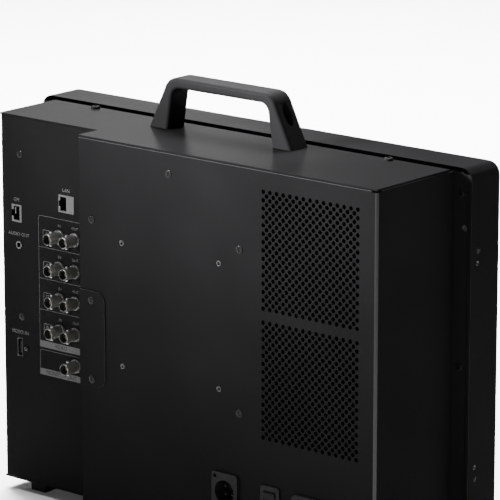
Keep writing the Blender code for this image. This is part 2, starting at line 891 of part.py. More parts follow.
def bnc_jacks():
    """Coaxial jacks: collar, bored barrel with its centre contact, and the body on the board."""
    face = at_depth(step_depth)
    back = signal_board_depth - step_depth - gap
    behind = sheet + gap
    profile = [
        (0, -back), (bnc_body, -back), (bnc_body, -behind), (bnc_radius, -behind),
        (bnc_radius, gap), (bnc_collar, gap), (bnc_collar, gap + 1.6), (bnc_radius, gap + 1.6),
        (bnc_radius, bnc_reach), (bnc_bore, bnc_reach), (bnc_bore, 4.0), (1.1, 4.0),
        (1.1, bnc_reach - 3.0), (0, bnc_reach - 3.0),
    ]
    for name, x, drop in bnc_places():
        shape = bmesh.new()
        centre = (x, face, at_drop(drop))
        turn(shape, profile, "Y", centre, 14)
        solid(name, shape, bright_plate, at=centre)


def modular_jack(name, x, drop, width, mouth_x, mouth):
    """Shielded data jack turned on its side, with its mouth and latch notch."""
    face = step_depth - 0.6
    z = at_drop(drop)
    shape = bmesh.new()
    outline = rectangle(width, jack_height, 0, (x, z))
    prism(shape, outline, "Y", at_depth(signal_board_depth - gap), at_depth(face))
    jack = solid(name, shape, bright_plate, at=(x, at_depth(face), z))
    cavity = bmesh.new()
    wide, high = mouth
    notch = 1.6
    outline = [
        (mouth_x, z - high / 2), (mouth_x + wide, z - high / 2),
        (mouth_x + wide, z - high / 5), (mouth_x + wide + notch, z - high / 5),
        (mouth_x + wide + notch, z + high / 5), (mouth_x + wide, z + high / 5),
        (mouth_x + wide, z + high / 2), (mouth_x, z + high / 2),
    ]
    prism(cavity, outline, "Y", at_depth(face + 12.0), at_depth(face - 5.0))
    combine(jack, cavity)


def small_jacks():
    """Data, control, audio and video jacks beside the coaxial ones."""
    modular_jack("lan_jack", lan_x, lan_drop, lan_width, lan_x - 0.4, (6.3, 11.4))
    modular_jack("gpi_jack", gpi_x, gpi_drop, gpi_width, gpi_x - 3.8, (6.3, 11.4))

    centre = (audio_x, at_depth(step_depth), at_drop(audio_drop))
    back = signal_board_depth - step_depth - gap
    behind = sheet + gap
    shape = bmesh.new()
    profile = [
        (0, -back), (4.0, -back), (4.0, -behind), (3.0, -behind), (3.0, gap), (3.8, gap),
        (3.8, 1.3), (1.8, 1.3), (1.8, -12.0), (0, -12.0),
    ]
    turn(shape, profile, "Y", centre, 16)
    solid("audio_jack", shape, bright_plate, at=centre)

    face = step_depth - 0.3
    z = at_drop(video_drop)
    shape = bmesh.new()
    outline = rectangle(5.4, 15.0, 0, (video_x, z))
    prism(shape, outline, "Y", at_depth(signal_board_depth - gap), at_depth(face))
    jack = solid("video_jack", shape, bright_plate, at=(video_x, at_depth(face), z))
    mouth = bmesh.new()
    outline = [
        (video_x - 2.2, z - 7.0), (video_x + 0.8, z - 7.0), (video_x + 2.2, z - 5.4),
        (video_x + 2.2, z + 5.4), (video_x + 0.8, z + 7.0), (video_x - 2.2, z + 7.0),
    ]
    prism(mouth, outline, "Y", at_depth(face + 9.0), at_depth(face - 5.0))
    combine(jack, mouth)
    tongue = bmesh.new()
    block(
        tongue, (video_x - 0.9, video_x + 0.1), (at_depth(face + 10.0), at_depth(face + 1.0)),
        (z - 5.0, z + 5.0),
    )
    combine(jack, tongue, "UNION")


# Power entry ------------------------------------------------------------------------------


def power_cutouts():
    """X and outline of each opening in the rear cover for the power entry."""
    yield inlet_x, rectangle(27.4 + 2 * gap, 20.0 + 2 * gap)
    yield switch_x, rectangle(14.2, 2 * rocker_radius + 4.8)
    yield dc_x, rectangle(24.0, 24.0, 11.9, steps=5)


def power_inlet():
    """Three-pin mains inlet: flange, body, shaped recess and pins."""
    z = power_z
    centre = (inlet_x, z)
    face = -gap - flange_thickness
    shape = bmesh.new()
    prism(shape, rectangle(50, 25, 5, centre), "Y", at_depth(-gap), at_depth(face))
    inlet = solid("power_inlet", shape, black_plastic, at=(inlet_x, at_depth(face), z))
    body = bmesh.new()
    prism(body, rectangle(27.4, 20, 0, centre), "Y", at_depth(22.0), at_depth(-gap - 1.0))
    combine(inlet, body, "UNION")
    recess = bmesh.new()
    a, b, chamfer = 12.2, 8.4, 4.0
    outline = [
        (inlet_x - a, z - b), (inlet_x + a, z - b), (inlet_x + a, z + b - chamfer),
        (inlet_x + a - chamfer, z + b), (inlet_x - a + chamfer, z + b),
        (inlet_x - a, z + b - chamfer),
    ]
    prism(recess, outline, "Y", at_depth(16.0), at_depth(-10.0))
    for x in (-20.0, 20.0):
        rod(recess, "Y", (inlet_x + x, rear_y, z), 1.7, -3, 8, 12)
    combine(inlet, recess)
    pins = bmesh.new()
    for x, lift in ((-7.0, -1.5), (0.0, 2.5), (7.0, -1.5)):
        block(
            pins, (inlet_x + x - 1, inlet_x + x + 1), (at_depth(17.0), at_depth(2.0)),
            (z + lift - 2, z + lift + 2),
        )
    combine(inlet, pins, "UNION")


def power_switch():
    """Rocker switch: a frame with a well, and the rocker resting with its lower end in."""
    z = power_z
    centre = (switch_x, z)
    length = 2 * rocker_radius
    shape = bmesh.new()
    prism(
        shape, rectangle(19.0, length + 9, 2, centre, 2),
        "Y", at_depth(-gap), at_depth(-gap - 1.6),
    )
    frame = solid("switch_frame", shape, black_plastic, at=(switch_x, rear_y, z))
    body = bmesh.new()
    prism(
        body, rectangle(rocker_width + 2 * play + 2, length + 4.2, 0, centre),
        "Y", at_depth(14.0), at_depth(-gap - 0.8),
    )
    combine(frame, body, "UNION")
    well = bmesh.new()
    prism(
        well, rectangle(rocker_width + 2 * play, length + 2 * play, 0, centre),
        "Y", at_depth(12.0), at_depth(-10.0),
    )
    combine(frame, well)

    pivot = (switch_x, at_depth(rocker_pivot), z)
    face = math.radians(rocker_face)
    steps = 5
    tail = math.radians(-18)
    right = []
    for k in range(steps + 1):
        angle = face + (tail - face) * k / steps
        right.append((rocker_radius * math.cos(angle), rocker_radius * math.sin(angle)))
    left = [(-a, b) for a, b in reversed(right)]
    valley = (0.0, rocker_radius * math.sin(face) - 1.9)
    outline = [valley, *right, (3.0, -6.5), (-3.0, -6.5), *left]
    shape = bmesh.new()
    half = rocker_width / 2
    prism(
        shape, [(pivot[1] + b, z + a) for a, b in outline],
        "X", switch_x - half, switch_x + half,
    )
    rocker = solid("switch_rocker", shape, black_plastic, at=pivot)
    rocker.rotation_euler.x = -math.radians(rocker_tilt)


def dc_inlet():
    """Round four-pin inlet for a battery or an outside supply."""
    z = power_z
    centre = (dc_x, rear_y, z)
    shape = bmesh.new()
    face = -gap - flange_thickness
    prism(
        shape, rectangle(26, 31, 3, (dc_x, z), 3), "Y", at_depth(-gap), at_depth(face)
    )
    inlet = solid("dc_inlet", shape, black_plastic, at=(dc_x, at_depth(face), z))
    body = bmesh.new()
    rod(body, "Y", centre, 11.4, -18.0, gap + 1.0, 24)
    combine(inlet, body, "UNION")
    cup = bmesh.new()
    rod(cup, "Y", centre, 9.6, -14.0, 10.0, 24)
    for x, lift in ((-9.5, -12.0), (9.5, 12.0)):
        rod(cup, "Y", (dc_x + x, rear_y, z + lift), 1.6, -3.0, 8.0, 12)
    combine(inlet, cup)
    pins = bmesh.new()
    for x in (-3.4, 3.4):
        for lift in (-3.4, 3.4):
            rod(pins, "Y", (dc_x + x, rear_y, z + lift), 1.1, -15.0, -3.0, 8)
    combine(inlet, pins, "UNION")


# Inside -----------------------------------------------------------------------------------


def fans():
    """Axial fans behind the grilles: frame with its motor boss, and the rotor cup round it."""
    for name, drop in grille_drops.items():
        centre = (grille_x, at_depth(fan_start), at_drop(drop))
        fan_frame(f"fan_frame_{name}", centre)
        fan_rotor(f"fan_rotor_{name}", centre)


def fan_frame(name, centre):
    """Square frame, round bore, four arms and a boss."""
    x, y, z = centre
    shape = bmesh.new()
    outline = rectangle(fan_side, fan_side, 4, (x, z), 2)
    prism(shape, outline, "Y", y - fan_depth, y)
    frame = solid(name, shape, black_plastic, at=centre)
    bore = bmesh.new()
    rod(bore, "Y", centre, fan_bore, -fan_depth - 5, 5, 40)
    for a in (-41.3, 41.3):
        for b in (-41.3, 41.3):
            rod(bore, "Y", (x + a, y, z + b), 2.1, -fan_depth - 5, 5, 8)
    combine(frame, bore)
    arms = bmesh.new()
    arm = 1.6
    reach = fan_bore + 0.6
    outline = [
        (-reach, -arm), (-arm, -arm), (-arm, -reach), (arm, -reach), (arm, -arm), (reach, -arm),
        (reach, arm), (arm, arm), (arm, reach), (-arm, reach), (-arm, arm), (-reach, arm),
    ]
    prism(arms, [(x + a, z + b) for a, b in outline], "Y", y - fan_depth, y - fan_depth + 3)
    combine(frame, arms, "UNION")
    boss = bmesh.new()
    profile = [
        (0, -fan_depth), (17.5, -fan_depth), (17.5, -fan_depth + 2.4),
        (boss_radius, -fan_depth + 2.4), (boss_radius, -rotor_front - 4.0),
        (0, -rotor_front - 4.0),
    ]
    turn(boss, profile, "Y", centre, 24)
    combine(frame, boss, "UNION")


def fan_rotor(name, centre):
    """Cup with twisted blades, its origin on the fan's axis."""
    x, y, z = centre
    outer, wall = 18.0, 3.0
    shape = bmesh.new()
    profile = [
        (0, -rotor_front), (outer, -rotor_front), (outer, -rotor_front - rotor_depth),
        (outer - wall, -rotor_front - rotor_depth), (outer - wall, -rotor_front - 3.0),
        (0, -rotor_front - 3.0),
    ]
    turn(shape, profile, "Y", centre, 28)
    rotor = solid(name, shape, black_plastic, at=centre)
    blades = bmesh.new()
    middle = y - rotor_front - rotor_depth / 2
    thickness = 1.5
    for k in range(blade_count):
        around = math.tau * k / blade_count
        rings = []
        for share in (0.0, 0.5, 1.0):
            radius = outer - 1.0 + share * (blade_tip - outer + 1.0)
            pitch = math.radians(52 - 22 * share)
            chord = 18.0 + 6.0 * share
            along = Vector((math.cos(pitch), math.sin(pitch))) * chord / 2
            across = Vector((-math.sin(pitch), math.cos(pitch))) * thickness / 2
            ring = []
            for point in (-along - across, along - across, along + across, -along + across):
                tangent, axial = point
                angle = around + tangent / radius
                ring.append((
                    x + radius * math.cos(angle), middle + axial * 0.72,
                    z + radius * math.sin(angle),
                ))
            rings.append(ring)
        loft(blades, rings)
    combine(rotor, blades, "UNION")


def boards():
    """Circuit boards, the processor's heat sink and the mains power supply."""
    depth = 60.0
    shape = bmesh.new()
    block(
        shape, (-88, box_left - 11.5), (at_depth(depth + 1.6), at_depth(depth)),
        (at_drop(212), at_drop(24)),
    )
    main = solid("main_board", shape, board_green)
    chips = bmesh.new()
    for x, drop, side in ((80, 60, 26), (110, 60, 18), (80, 180, 24), (110, 180, 16)):
        block(
            chips, (x - side / 2, x + side / 2), (at_depth(depth + 0.8), at_depth(depth - 3.0)),
            (at_drop(drop + side / 2), at_drop(drop - side / 2)),
        )
    combine(main, chips, "UNION")

    half, fins, fin = 46.0, 12, 2.0
    base = depth - gap
    pitch = (2 * half - fin) / (fins - 1)
    outline = [(half, at_depth(base)), (-half, at_depth(base))]
    for k in range(fins):
        x = -half + k * pitch
        outline += [(x, at_depth(base - 26)), (x + fin, at_depth(base - 26))]
        if k < fins - 1:
            outline += [(x + fin, at_depth(base - 5)), (x + pitch, at_depth(base - 5))]
    shape = bmesh.new()
    prism(shape, outline, "Z", at_drop(mount_drop + half), at_drop(mount_drop - half))
    solid("heat_sink", shape, raw_aluminium)

    behind_inlets = 34.0
    shape = bmesh.new()
    block(
        shape, (box_right + 12, box_right + 184),
        (at_depth(box_depth - 9.4), at_depth(behind_inlets)),
        (box_bottom + 7, box_bottom + 83),
    )
    solid("power_supply", shape, raw_steel)

    shape = bmesh.new()
    block(
        shape, (box_step + 6.6, box_left - 7.5),
        (at_depth(signal_board_depth + 1.6), at_depth(signal_board_depth)),
        (at_drop(last_row_drop + 15), at_drop(50)),
    )
    signal = solid("signal_board", shape, board_green)
    plugs = bmesh.new()
    for drop in (80, 180):
        block(
            plugs, (box_step + 16, box_step + 28),
            (at_depth(signal_board_depth + 9), at_depth(signal_board_depth + 1)),
            (at_drop(drop + 20), at_drop(drop - 20)),
        )
    combine(signal, plugs, "UNION")


front_housing()
housing_back()
screen()
tally_lens()
front_controls()
control_board()
rear_cover()
connector_panel()
top_cover()
bottom_cover()
grilles()
feet()
carry_handle()
handle_fixings()
outside_screws()
access_plate()
vesa_bracket()
bnc_jacks()
small_jacks()
power_inlet()
power_switch()
dc_inlet()
fans()
boards()
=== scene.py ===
"""The looks of a rack-width reference video monitor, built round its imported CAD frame.

Everything is in metres, with +Z up, the screen facing -Y and the connectors facing +Y.
"""

import math

import bmesh
import bpy
from mathutils import Matrix, Vector


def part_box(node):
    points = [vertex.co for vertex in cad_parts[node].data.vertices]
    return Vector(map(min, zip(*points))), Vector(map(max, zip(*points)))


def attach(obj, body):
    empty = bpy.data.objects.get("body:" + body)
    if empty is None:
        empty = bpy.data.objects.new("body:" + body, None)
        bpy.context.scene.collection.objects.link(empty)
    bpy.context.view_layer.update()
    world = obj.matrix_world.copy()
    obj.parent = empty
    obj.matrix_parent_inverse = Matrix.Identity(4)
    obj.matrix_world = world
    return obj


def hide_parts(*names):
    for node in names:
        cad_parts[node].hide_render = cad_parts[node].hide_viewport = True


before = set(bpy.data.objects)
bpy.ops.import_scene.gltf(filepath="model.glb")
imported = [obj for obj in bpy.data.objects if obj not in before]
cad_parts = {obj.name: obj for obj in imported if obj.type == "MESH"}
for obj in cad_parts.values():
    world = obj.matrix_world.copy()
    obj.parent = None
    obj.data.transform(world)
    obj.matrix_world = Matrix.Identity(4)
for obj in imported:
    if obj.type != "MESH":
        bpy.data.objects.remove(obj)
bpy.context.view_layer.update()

main = "monitor"
sharp_angle = math.radians(32)

# Sheet metal
sheet = 0.0015            # thickness
gap = 0.0003              # between two sheets
fold = 0.003              # outer radius of a folded edge
fold_ends = 0.36          # share of that radius, at each end of the fold, that keeps the plain coat; the middle gets the painted highlight
step_fold = 0.001         # outer radius of the fold at the step, which is tighter
cut_edge = 0.0005         # rounding of the rear sheet's cut edges
corner_notch = 0.0055     # cut out of the fold below the lid's corner
notch_depth = 0.0012
windows = {               # width, height, corner
    "power_inlet": (0.028, 0.0206, 0),
    "switch_frame": (0.0146, 0.0232, 0),
    "dc_inlet": (0.024, 0.024, 0.0119),
}
channel_width = 0.008     # of the lid's front strip, from the flange, that is painted near-black as shade
rim_depth = 0.003         # of the housing's rear rim, below the top of the lid, that is painted near-black as shade

# Perforation of the two air outlets
hole_pitch = 0.0065
hole_columns = 15
hole_radius = 0.00178

# Wall-mount holes
mount_pitch = 0.1
mount_bore = 0.0021
mount_depth = 0.005

# Carry handle
handle_lean = math.radians(26)
handle_inner_lean = math.radians(9)
handle_leg = 0.02         # leg width at the base
handle_bar = 0.0084
handle_round = 0.003
handle_top_corner = 0.013
handle_inner_corner = 0.008
handle_well = 0.0043      # radius of the well over each screw
well_floor = 0.004        # below the top of the CAD screw
well_seat = 0.0037

# Screw heads: radius, height
cover_head = (0.0033, 0.0006)
plate_head = (0.0031, 0.0006)
panel_head = (0.0032, 0.0006)
lid_head = (0.0038, 0.0022)
well_head = (0.0035, 0.0036)
lock_head = (0.0021, 0.0016)
flange_head = (0.0029, 0.0011)
side_head = (0.0019, 0.0006)
shank = 0.48              # of a head's radius

# Screws that only show: places on the rear face and on the connector panel
cover_screw_drop = 0.1301     # of the fourth rear screw, below the third
panel_screw_inset = 0.0219
panel_screw_drops = {"upper": 0.0315, "lower": 0.167}
lock_screw_offset = 0.0077

# Screws and threaded holes for rack ears, on the flange and the housing's sides
flange_screw_heights = (0.2979, 0.1627, 0.0275)
flange_screw_inset = 0.0098
flange_thread_heights = (0.2715, 0.0545)
flange_thread_inset = 0.0069
flange_thread = (0.0022, 0.0017)      # radius, depth
flange_hole = 0.0023
side_screw_heights = (0.2532, 0.0728)
side_screw_y = -0.0326
side_screw_sunk = 0.0007
side_recess = 0.0023
side_thread_heights = (0.2437, 0.0823)
side_thread_y = -0.0317
side_thread = (0.0017, 0.0026)
side_hole = 0.0018

# Jacks
barrel = 0.0048           # outer radius of a coaxial jack
bore = 0.00405
collar = 0.0057
contact_count = 8
contact_pitch = 0.00102
trim_spare = 0.0004       # how far the trim reaches past a data jack's edges
flush = 0.00002           # how far a jack's face stands out of the panel
# How much of each data jack's face the panel covers on its -X and +X sides
data_jack_covered = {"lan_jack": (0.0007, 0.0015), "gpi_jack": (0.0002, 0.0016)}

# Printing on the connector panel. The frames start at the step.
print_height = 0.00006
print_width = 0.00038
frame_start = 0.0004
frame_end = 0.0659
frame_corner = 0.0018
frame_rise = 0.0148       # from the middle of a row of jacks to the line above it
frame_space = 0.0019      # between the two frames
input_band = 0.0056       # heights of the pale bars
output_band = 0.0053
output_frame = 0.0213     # height of the second frame
letter_box = (0.0084, 0.0074, 0.0006)     # width, height, corner
letter_hollow = (0.0076, 0.0066, 0.0004)
letter_place = 0.0568     # of the boxed letters and of the headings, from the step
heading_place = 0.0425

# Front
screen_margin = 0.0045
knob_flutes = 40
knob_bore = 0.0033
label_rise = 0.0045       # of a function button's mark above the button
mark_gap = math.radians(38)       # half the gap in the power mark's ring
mark_radii = (0.0023, 0.0018)

# Light
sky_strength = 0.07
backdrop_grey = 0.9       # of the sky as the camera sees it
overhead_power = 3.6
overhead_angle = math.radians(30)

# Faces and edges of the box, read from the frame
cover_low, cover_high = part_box("rear_cover")
panel_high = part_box("connector_panel")[1]
lid_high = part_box("top_cover")[1]
floor_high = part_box("bottom_cover")[1]
housing_low, housing_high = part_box("front_housing")
back_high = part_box("housing_back")[1]
plate_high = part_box("access_plate")[1]
rear_y = cover_high.y
panel_y = panel_high.y
flange_y = back_high.y
front_y = housing_low.y
side_x = cover_low.x
step_x = cover_high.x


def middle(node):
    """The middle of a CAD node's box."""
    low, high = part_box(node)
    return (low + high) / 2


# Shapes ---------------------------------------------------


def place(axis, a, b, height):
    """A point from its two coordinates across an axis and its height along it."""
    return {"X": (height, a, b), "Y": (a, height, b), "Z": (a, b, height)}[axis]


def loft(shape, rings, material=0):
    """Add a closed body through rings of points, with a flat cap on each end."""
    layers = [[shape.verts.new(point) for point in ring] for ring in rings]
    count = len(rings[0])
    made = []
    for lower, upper in zip(layers, layers[1:]):
        for i in range(count):
            j = (i + 1) % count
            made.append(shape.faces.new((lower[i], lower[j], upper[j], upper[i])))
    made.append(shape.faces.new(list(reversed(layers[0]))))
    made.append(shape.faces.new(layers[-1]))
    for face in made:
        face.material_index = material
    return layers


def prism(shape, outline, axis, start, end, material=0):
    """Add a flat outline extruded along an axis."""
    rings = [[place(axis, a, b, h) for a, b in outline] for h in (start, end)]
    return loft(shape, rings, material)


def block(shape, x, y, z, material=0):
    """Add a box between two X, two Y and two Z values."""
    outline = [(x[0], y[0]), (x[1], y[0]), (x[1], y[1]), (x[0], y[1])]
    prism(shape, outline, "Z", z[0], z[1], material)


def turn(shape, profile, axis="Z", centre=(0.0, 0.0, 0.0), steps=32, material=0):
    """Add a profile of (radius, height) points turned round an axis, from axis to axis."""
    across = [i for i in range(3) if i != "XYZ".index(axis)]
    rings = []
    for radius, height in profile:
        ring = []
        for k in range(steps if radius > 0 else 1):
            angle = math.tau * k / steps
            a = centre[across[0]] + radius * math.cos(angle)
            b = centre[across[1]] + radius * math.sin(angle)
            ring.append(shape.verts.new(place(axis, a, b, centre["XYZ".index(axis)] + height)))
        rings.append(ring)
    for lower, upper in zip(rings, rings[1:]):
        for i in range(steps):
            j = (i + 1) % steps
            corners = [
                lower[i % len(lower)], lower[j % len(lower)],
                upper[j % len(upper)], upper[i % len(upper)],
            ]
            face = shape.faces.new(list(dict.fromkeys(corners)))
            face.material_index = material


def rod(shape, axis, centre, radius, start, end, steps=24, material=0):
    """Add a plain cylinder between two heights, counted from the centre point."""
    turn(
        shape, [(0, start), (radius, start), (radius, end), (0, end)], axis, centre, steps,
        material,
    )


def rounded(corners, steps=8):
    """A closed outline through (a, b, radius) corners, with an arc at each that has a radius."""
    outline = []
    count = len(corners)
    for i, (a, b, radius) in enumerate(corners):
        corner = Vector((a, b))
        if radius == 0:
            outline.append((a, b))
            continue
        before = (Vector(corners[i - 1][:2]) - corner).normalized()
        after = (Vector(corners[(i + 1) % count][:2]) - corner).normalized()
        half = before.angle(after) / 2
        centre = corner + (before + after).normalized() * (radius / math.sin(half))
        start = corner + before * (radius / math.tan(half)) - centre
        end = corner + after * (radius / math.tan(half)) - centre
        sweep = start.angle_signed(end)
        for k in range(steps + 1):
            angle = -sweep * k / steps
            x = start.x * math.cos(angle) - start.y * math.sin(angle)
            y = start.x * math.sin(angle) + start.y * math.cos(angle)
            outline.append((centre.x + x, centre.y + y))
    return outline


def rectangle(width, height, radius=0.0, centre=(0.0, 0.0), steps=6):
    """A centred rectangle outline with rounded corners."""
    x, y = width / 2, height / 2
    a, b = centre
    corners = [(a - x, b - y), (a + x, b - y), (a + x, b + y), (a - x, b + y)]
    return rounded([(*corner, radius) for corner in corners], steps)


# Pieces ---------------------------------------------------


def draw(name, shape, *finishes):
    """Make an object of a shape."""
    bmesh.ops.recalc_face_normals(shape, faces=shape.faces)
    mesh = bpy.data.meshes.new(name)
    shape.to_mesh(mesh)
    shape.free()
    for finish in finishes:
        mesh.materials.append(finish)
    made = bpy.data.objects.new(name, mesh)
    bpy.context.collection.objects.link(made)
    return made


def bake(made):
    """Turn an object's modifiers into its mesh."""
    scene = bpy.context.evaluated_depsgraph_get()
    mesh = bpy.data.meshes.new_from_object(made.evaluated_get(scene))
    made.modifiers.clear()
    made.data = mesh


def cut(made, shape, operation="DIFFERENCE"):
    """Cut a shape out of an object, or join it on."""
    tool = draw("tool", shape)
    modifier = made.modifiers.new("cut", "BOOLEAN")
    modifier.operation = operation
    modifier.object = tool
    bake(made)
    bpy.data.objects.remove(tool)


def ease(made, width, segments=2, angle=40):
    """Round an object's sharp edges, and put the glossier edge coat on them, as a painted
    highlight, where the object has it.
    """
    modifier = made.modifiers.new("eased", "BEVEL")
    if highlight_edge_coat.name in made.data.materials:
        modifier.material = made.data.materials.find(highlight_edge_coat.name)
    modifier.width = width
    modifier.segments = segments
    modifier.limit_method = "ANGLE"
    modifier.angle_limit = math.radians(angle)
    return made


def settle(made, slot, *nodes, body=main):
    """Smooth a finished object, fix it to its body, and hide the CAD nodes it stands in for."""
    made.data.shade_smooth()
    made.data.set_sharp_from_angle(angle=sharp_angle)
    normals = made.modifiers.new("weighted_normals", "WEIGHTED_NORMAL")
    normals.keep_sharp = True
    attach(made, body)
    if nodes:
        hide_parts(*nodes)
    return made


def copy_of(node, *finishes):
    """A copy of a CAD node, with its flat faces whole again."""
    shape = bmesh.new()
    shape.from_mesh(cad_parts[node].data)
    bmesh.ops.remove_doubles(shape, verts=shape.verts, dist=1e-6)
    bmesh.ops.dissolve_limit(
        shape, angle_limit=math.radians(0.5), verts=shape.verts, edges=shape.edges
    )
    return draw(f"{node}_look", shape, *finishes)


def eased(node, slot, width, *finishes, body=main, segments=2):
    """A CAD node with its edges rounded and a finish on it."""
    made = ease(copy_of(node, *finishes), width, segments)
    return settle(made, slot, node, body=body)


# Finishes -------------------------------------------------


def surface(
    name, colour, roughness, metallic=0.0, grain=0.0005, relief=0.00002, mottle=0.12,
    spread=0.06, coat=0.0, specular=0.5, stretch=(1.0, 1.0, 1.0),
):
    """A finish whose colour drifts a little over its length, with a fine grain in its gloss.

    The grain is the size of its specks and the relief their height. The mottle is how far the
    colour drifts, as a share of itself, and the spread how far the roughness does.
    """
    material = bpy.data.materials.new(name)
    material.use_nodes = True
    nodes = material.node_tree.nodes
    links = material.node_tree.links
    shader = nodes["Principled BSDF"]
    shader.inputs["Metallic"].default_value = metallic
    shader.inputs["Specular IOR Level"].default_value = specular
    shader.inputs["Coat Weight"].default_value = coat
    shader.inputs["Coat Roughness"].default_value = 0.1
    coordinates = nodes.new("ShaderNodeTexCoord")
    mapping = nodes.new("ShaderNodeMapping")
    mapping.inputs["Scale"].default_value = stretch
    links.new(coordinates.outputs["Object"], mapping.inputs["Vector"])

    fine = nodes.new("ShaderNodeTexNoise")
    fine.inputs["Scale"].default_value = 1.0 / grain
    fine.inputs["Detail"].default_value = 3.0
    links.new(mapping.outputs["Vector"], fine.inputs["Vector"])
    broad = nodes.new("ShaderNodeTexNoise")
    broad.inputs["Scale"].default_value = 14.0
    broad.inputs["Detail"].default_value = 5.0
    links.new(coordinates.outputs["Object"], broad.inputs["Vector"])

    tint = nodes.new("ShaderNodeValToRGB")
    tint.color_ramp.elements[0].position = 0.3
    tint.color_ramp.elements[1].position = 0.7
    tint.color_ramp.elements[0].color = (*[c * (1 - mottle) for c in colour], 1)
    tint.color_ramp.elements[1].color = (*[min(1, c * (1 + mottle)) for c in colour], 1)
    links.new(broad.outputs["Fac"], tint.inputs["Fac"])
    links.new(tint.outputs["Color"], shader.inputs["Base Color"])

    gloss = nodes.new("ShaderNodeMapRange")
    gloss.inputs["From Min"].default_value = 0.3
    gloss.inputs["From Max"].default_value = 0.7
    gloss.inputs["To Min"].default_value = roughness - spread
    gloss.inputs["To Max"].default_value = roughness + spread
    links.new(fine.outputs["Fac"], gloss.inputs["Value"])
    links.new(gloss.outputs["Result"], shader.inputs["Roughness"])

    bump = nodes.new("ShaderNodeBump")
    bump.inputs["Strength"].default_value = 1.0
    bump.inputs["Distance"].default_value = relief
    links.new(fine.outputs["Fac"], bump.inputs["Height"])
    links.new(bump.outputs["Normal"], shader.inputs["Normal"])
    return material


# The blacks are this dark because the light on the floor is strong.
# A glossier, slightly lighter copy of the black coat, put on edges and folds as a painted
# highlight.
highlight_edge_coat = surface(
    "painted_highlight_on_edges", (0.009, 0.009, 0.0095), 0.3, relief=0.000006, specular=0.2,
)
# A lighter coat for the access plate's side edges: a painted highlight.
plate_highlight_edge = surface("plate_side_painted_highlight", (0.02, 0.02, 0.021), 0.4, relief=0.000006, specular=0.1)
black_coat = surface(
    "satin_black_coat", (0.005, 0.005, 0.0052), 0.34, grain=0.0007, relief=0.000012,
    specular=0.0,
)
# The black coat again with a little gloss, for the lid and the housing's top only: a lit copy
# that gives the tops a painted sheen.
top_sheen_coat = surface(
    "top_sheen_coat", (0.0047, 0.0047, 0.0049), 0.34, grain=0.0007, relief=0.000012, specular=0.0018,
)
handle_coat = surface(
    "handle_coat", (0.0062, 0.0062, 0.0065), 0.55, grain=0.0006, relief=0.00001, specular=0.012,
)
black_plastic = surface(
    "moulded_black", (0.008, 0.008, 0.0085), 0.5, grain=0.0004, relief=0.00001, specular=0.03,
)
# Dark for the inner parts, and for the insides of the jacks' mouths, where it is partly their own
# dark plastic and partly painted shade.
mouth_shade_and_inner_dark = surface("mouth_shade_and_inner_dark", (0.004, 0.004, 0.004), 0.6, grain=0.0004, specular=0.1)
# Near-black: the fans' own black, and painted shade in the lid's channel and on the housing's
# rear rim.
shade_and_fan_black = surface("shade_and_fan_black", (0.0002, 0.0002, 0.0002), 0.8, specular=0.0)
black_screw = surface(
    "blackened_screw", (0.004, 0.004, 0.0042), 0.34, relief=0.000008, specular=0.05,
)
matt_screw = surface("matt_screw", (0.006, 0.006, 0.006), 0.6, relief=0.000006, specular=0.01)
nickel = surface("nickel_plate", (0.22, 0.217, 0.21), 0.36, 0.8, grain=0.0003, relief=0.000004)
jack_shell = surface("stamped_jack_shell", (0.05, 0.05, 0.05), 0.4, 1.0, relief=0.000005)
dark_shell = surface("darkened_jack_shell", (0.018, 0.018, 0.018), 0.4, 1.0, relief=0.000005)
thread_plate = surface("plated_thread", (0.02, 0.02, 0.02), 0.4, relief=0.000003)
gold = surface("gold_contact", (0.14, 0.115, 0.06), 0.24, 1.0, relief=0.000003)
# The black of the jacks' insulating core, also put on their bore walls as painted shade.
core_and_bore_shade = surface("black_core_and_bore_shade", (0.01, 0.01, 0.009), 0.5, relief=0.000006)
raw_steel = surface("zinc_steel", (0.06, 0.06, 0.061), 0.4, 1.0, stretch=(1, 1, 0.1))
raw_aluminium = surface("milled_aluminium", (0.06, 0.06, 0.062), 0.42, 1.0, stretch=(1, 1, 0.1))
supply_case = surface("pierced_steel", (0.03, 0.03, 0.03), 0.42, 1.0)
board_green = surface("board_lacquer", (0.003, 0.014, 0.007), 0.4, coat=0.1)
rubber = surface("rubber", (0.006, 0.006, 0.006), 0.78, grain=0.0008, specular=0.02)
panel_glass = surface(
    "black_glass", (0.001, 0.001, 0.0011), 0.06, relief=0.0000002, spread=0.015,
    specular=0.05,
)
screen_surface = surface(
    "dark_picture_area", (0.0014, 0.0014, 0.0017), 0.16, relief=0.0000004, spread=0.02,
    specular=0.035,
)
lens_plastic = surface("smoked_lens", (0.02, 0.018, 0.018), 0.22, relief=0.000003, specular=0.1)
print_light = surface("printing_light_grey", (0.05, 0.05, 0.05), 0.6, specular=0.05)
print_grey = surface("printing_grey", (0.036, 0.036, 0.036), 0.6, specular=0.05)
print_black = surface("printing_black", (0.005, 0.005, 0.005), 0.6, specular=0.05)
label_white = surface("label_white", (0.1, 0.1, 0.1), 0.55, relief=0.000004, specular=0.1)


# Sheet metal ----------------------------------------------


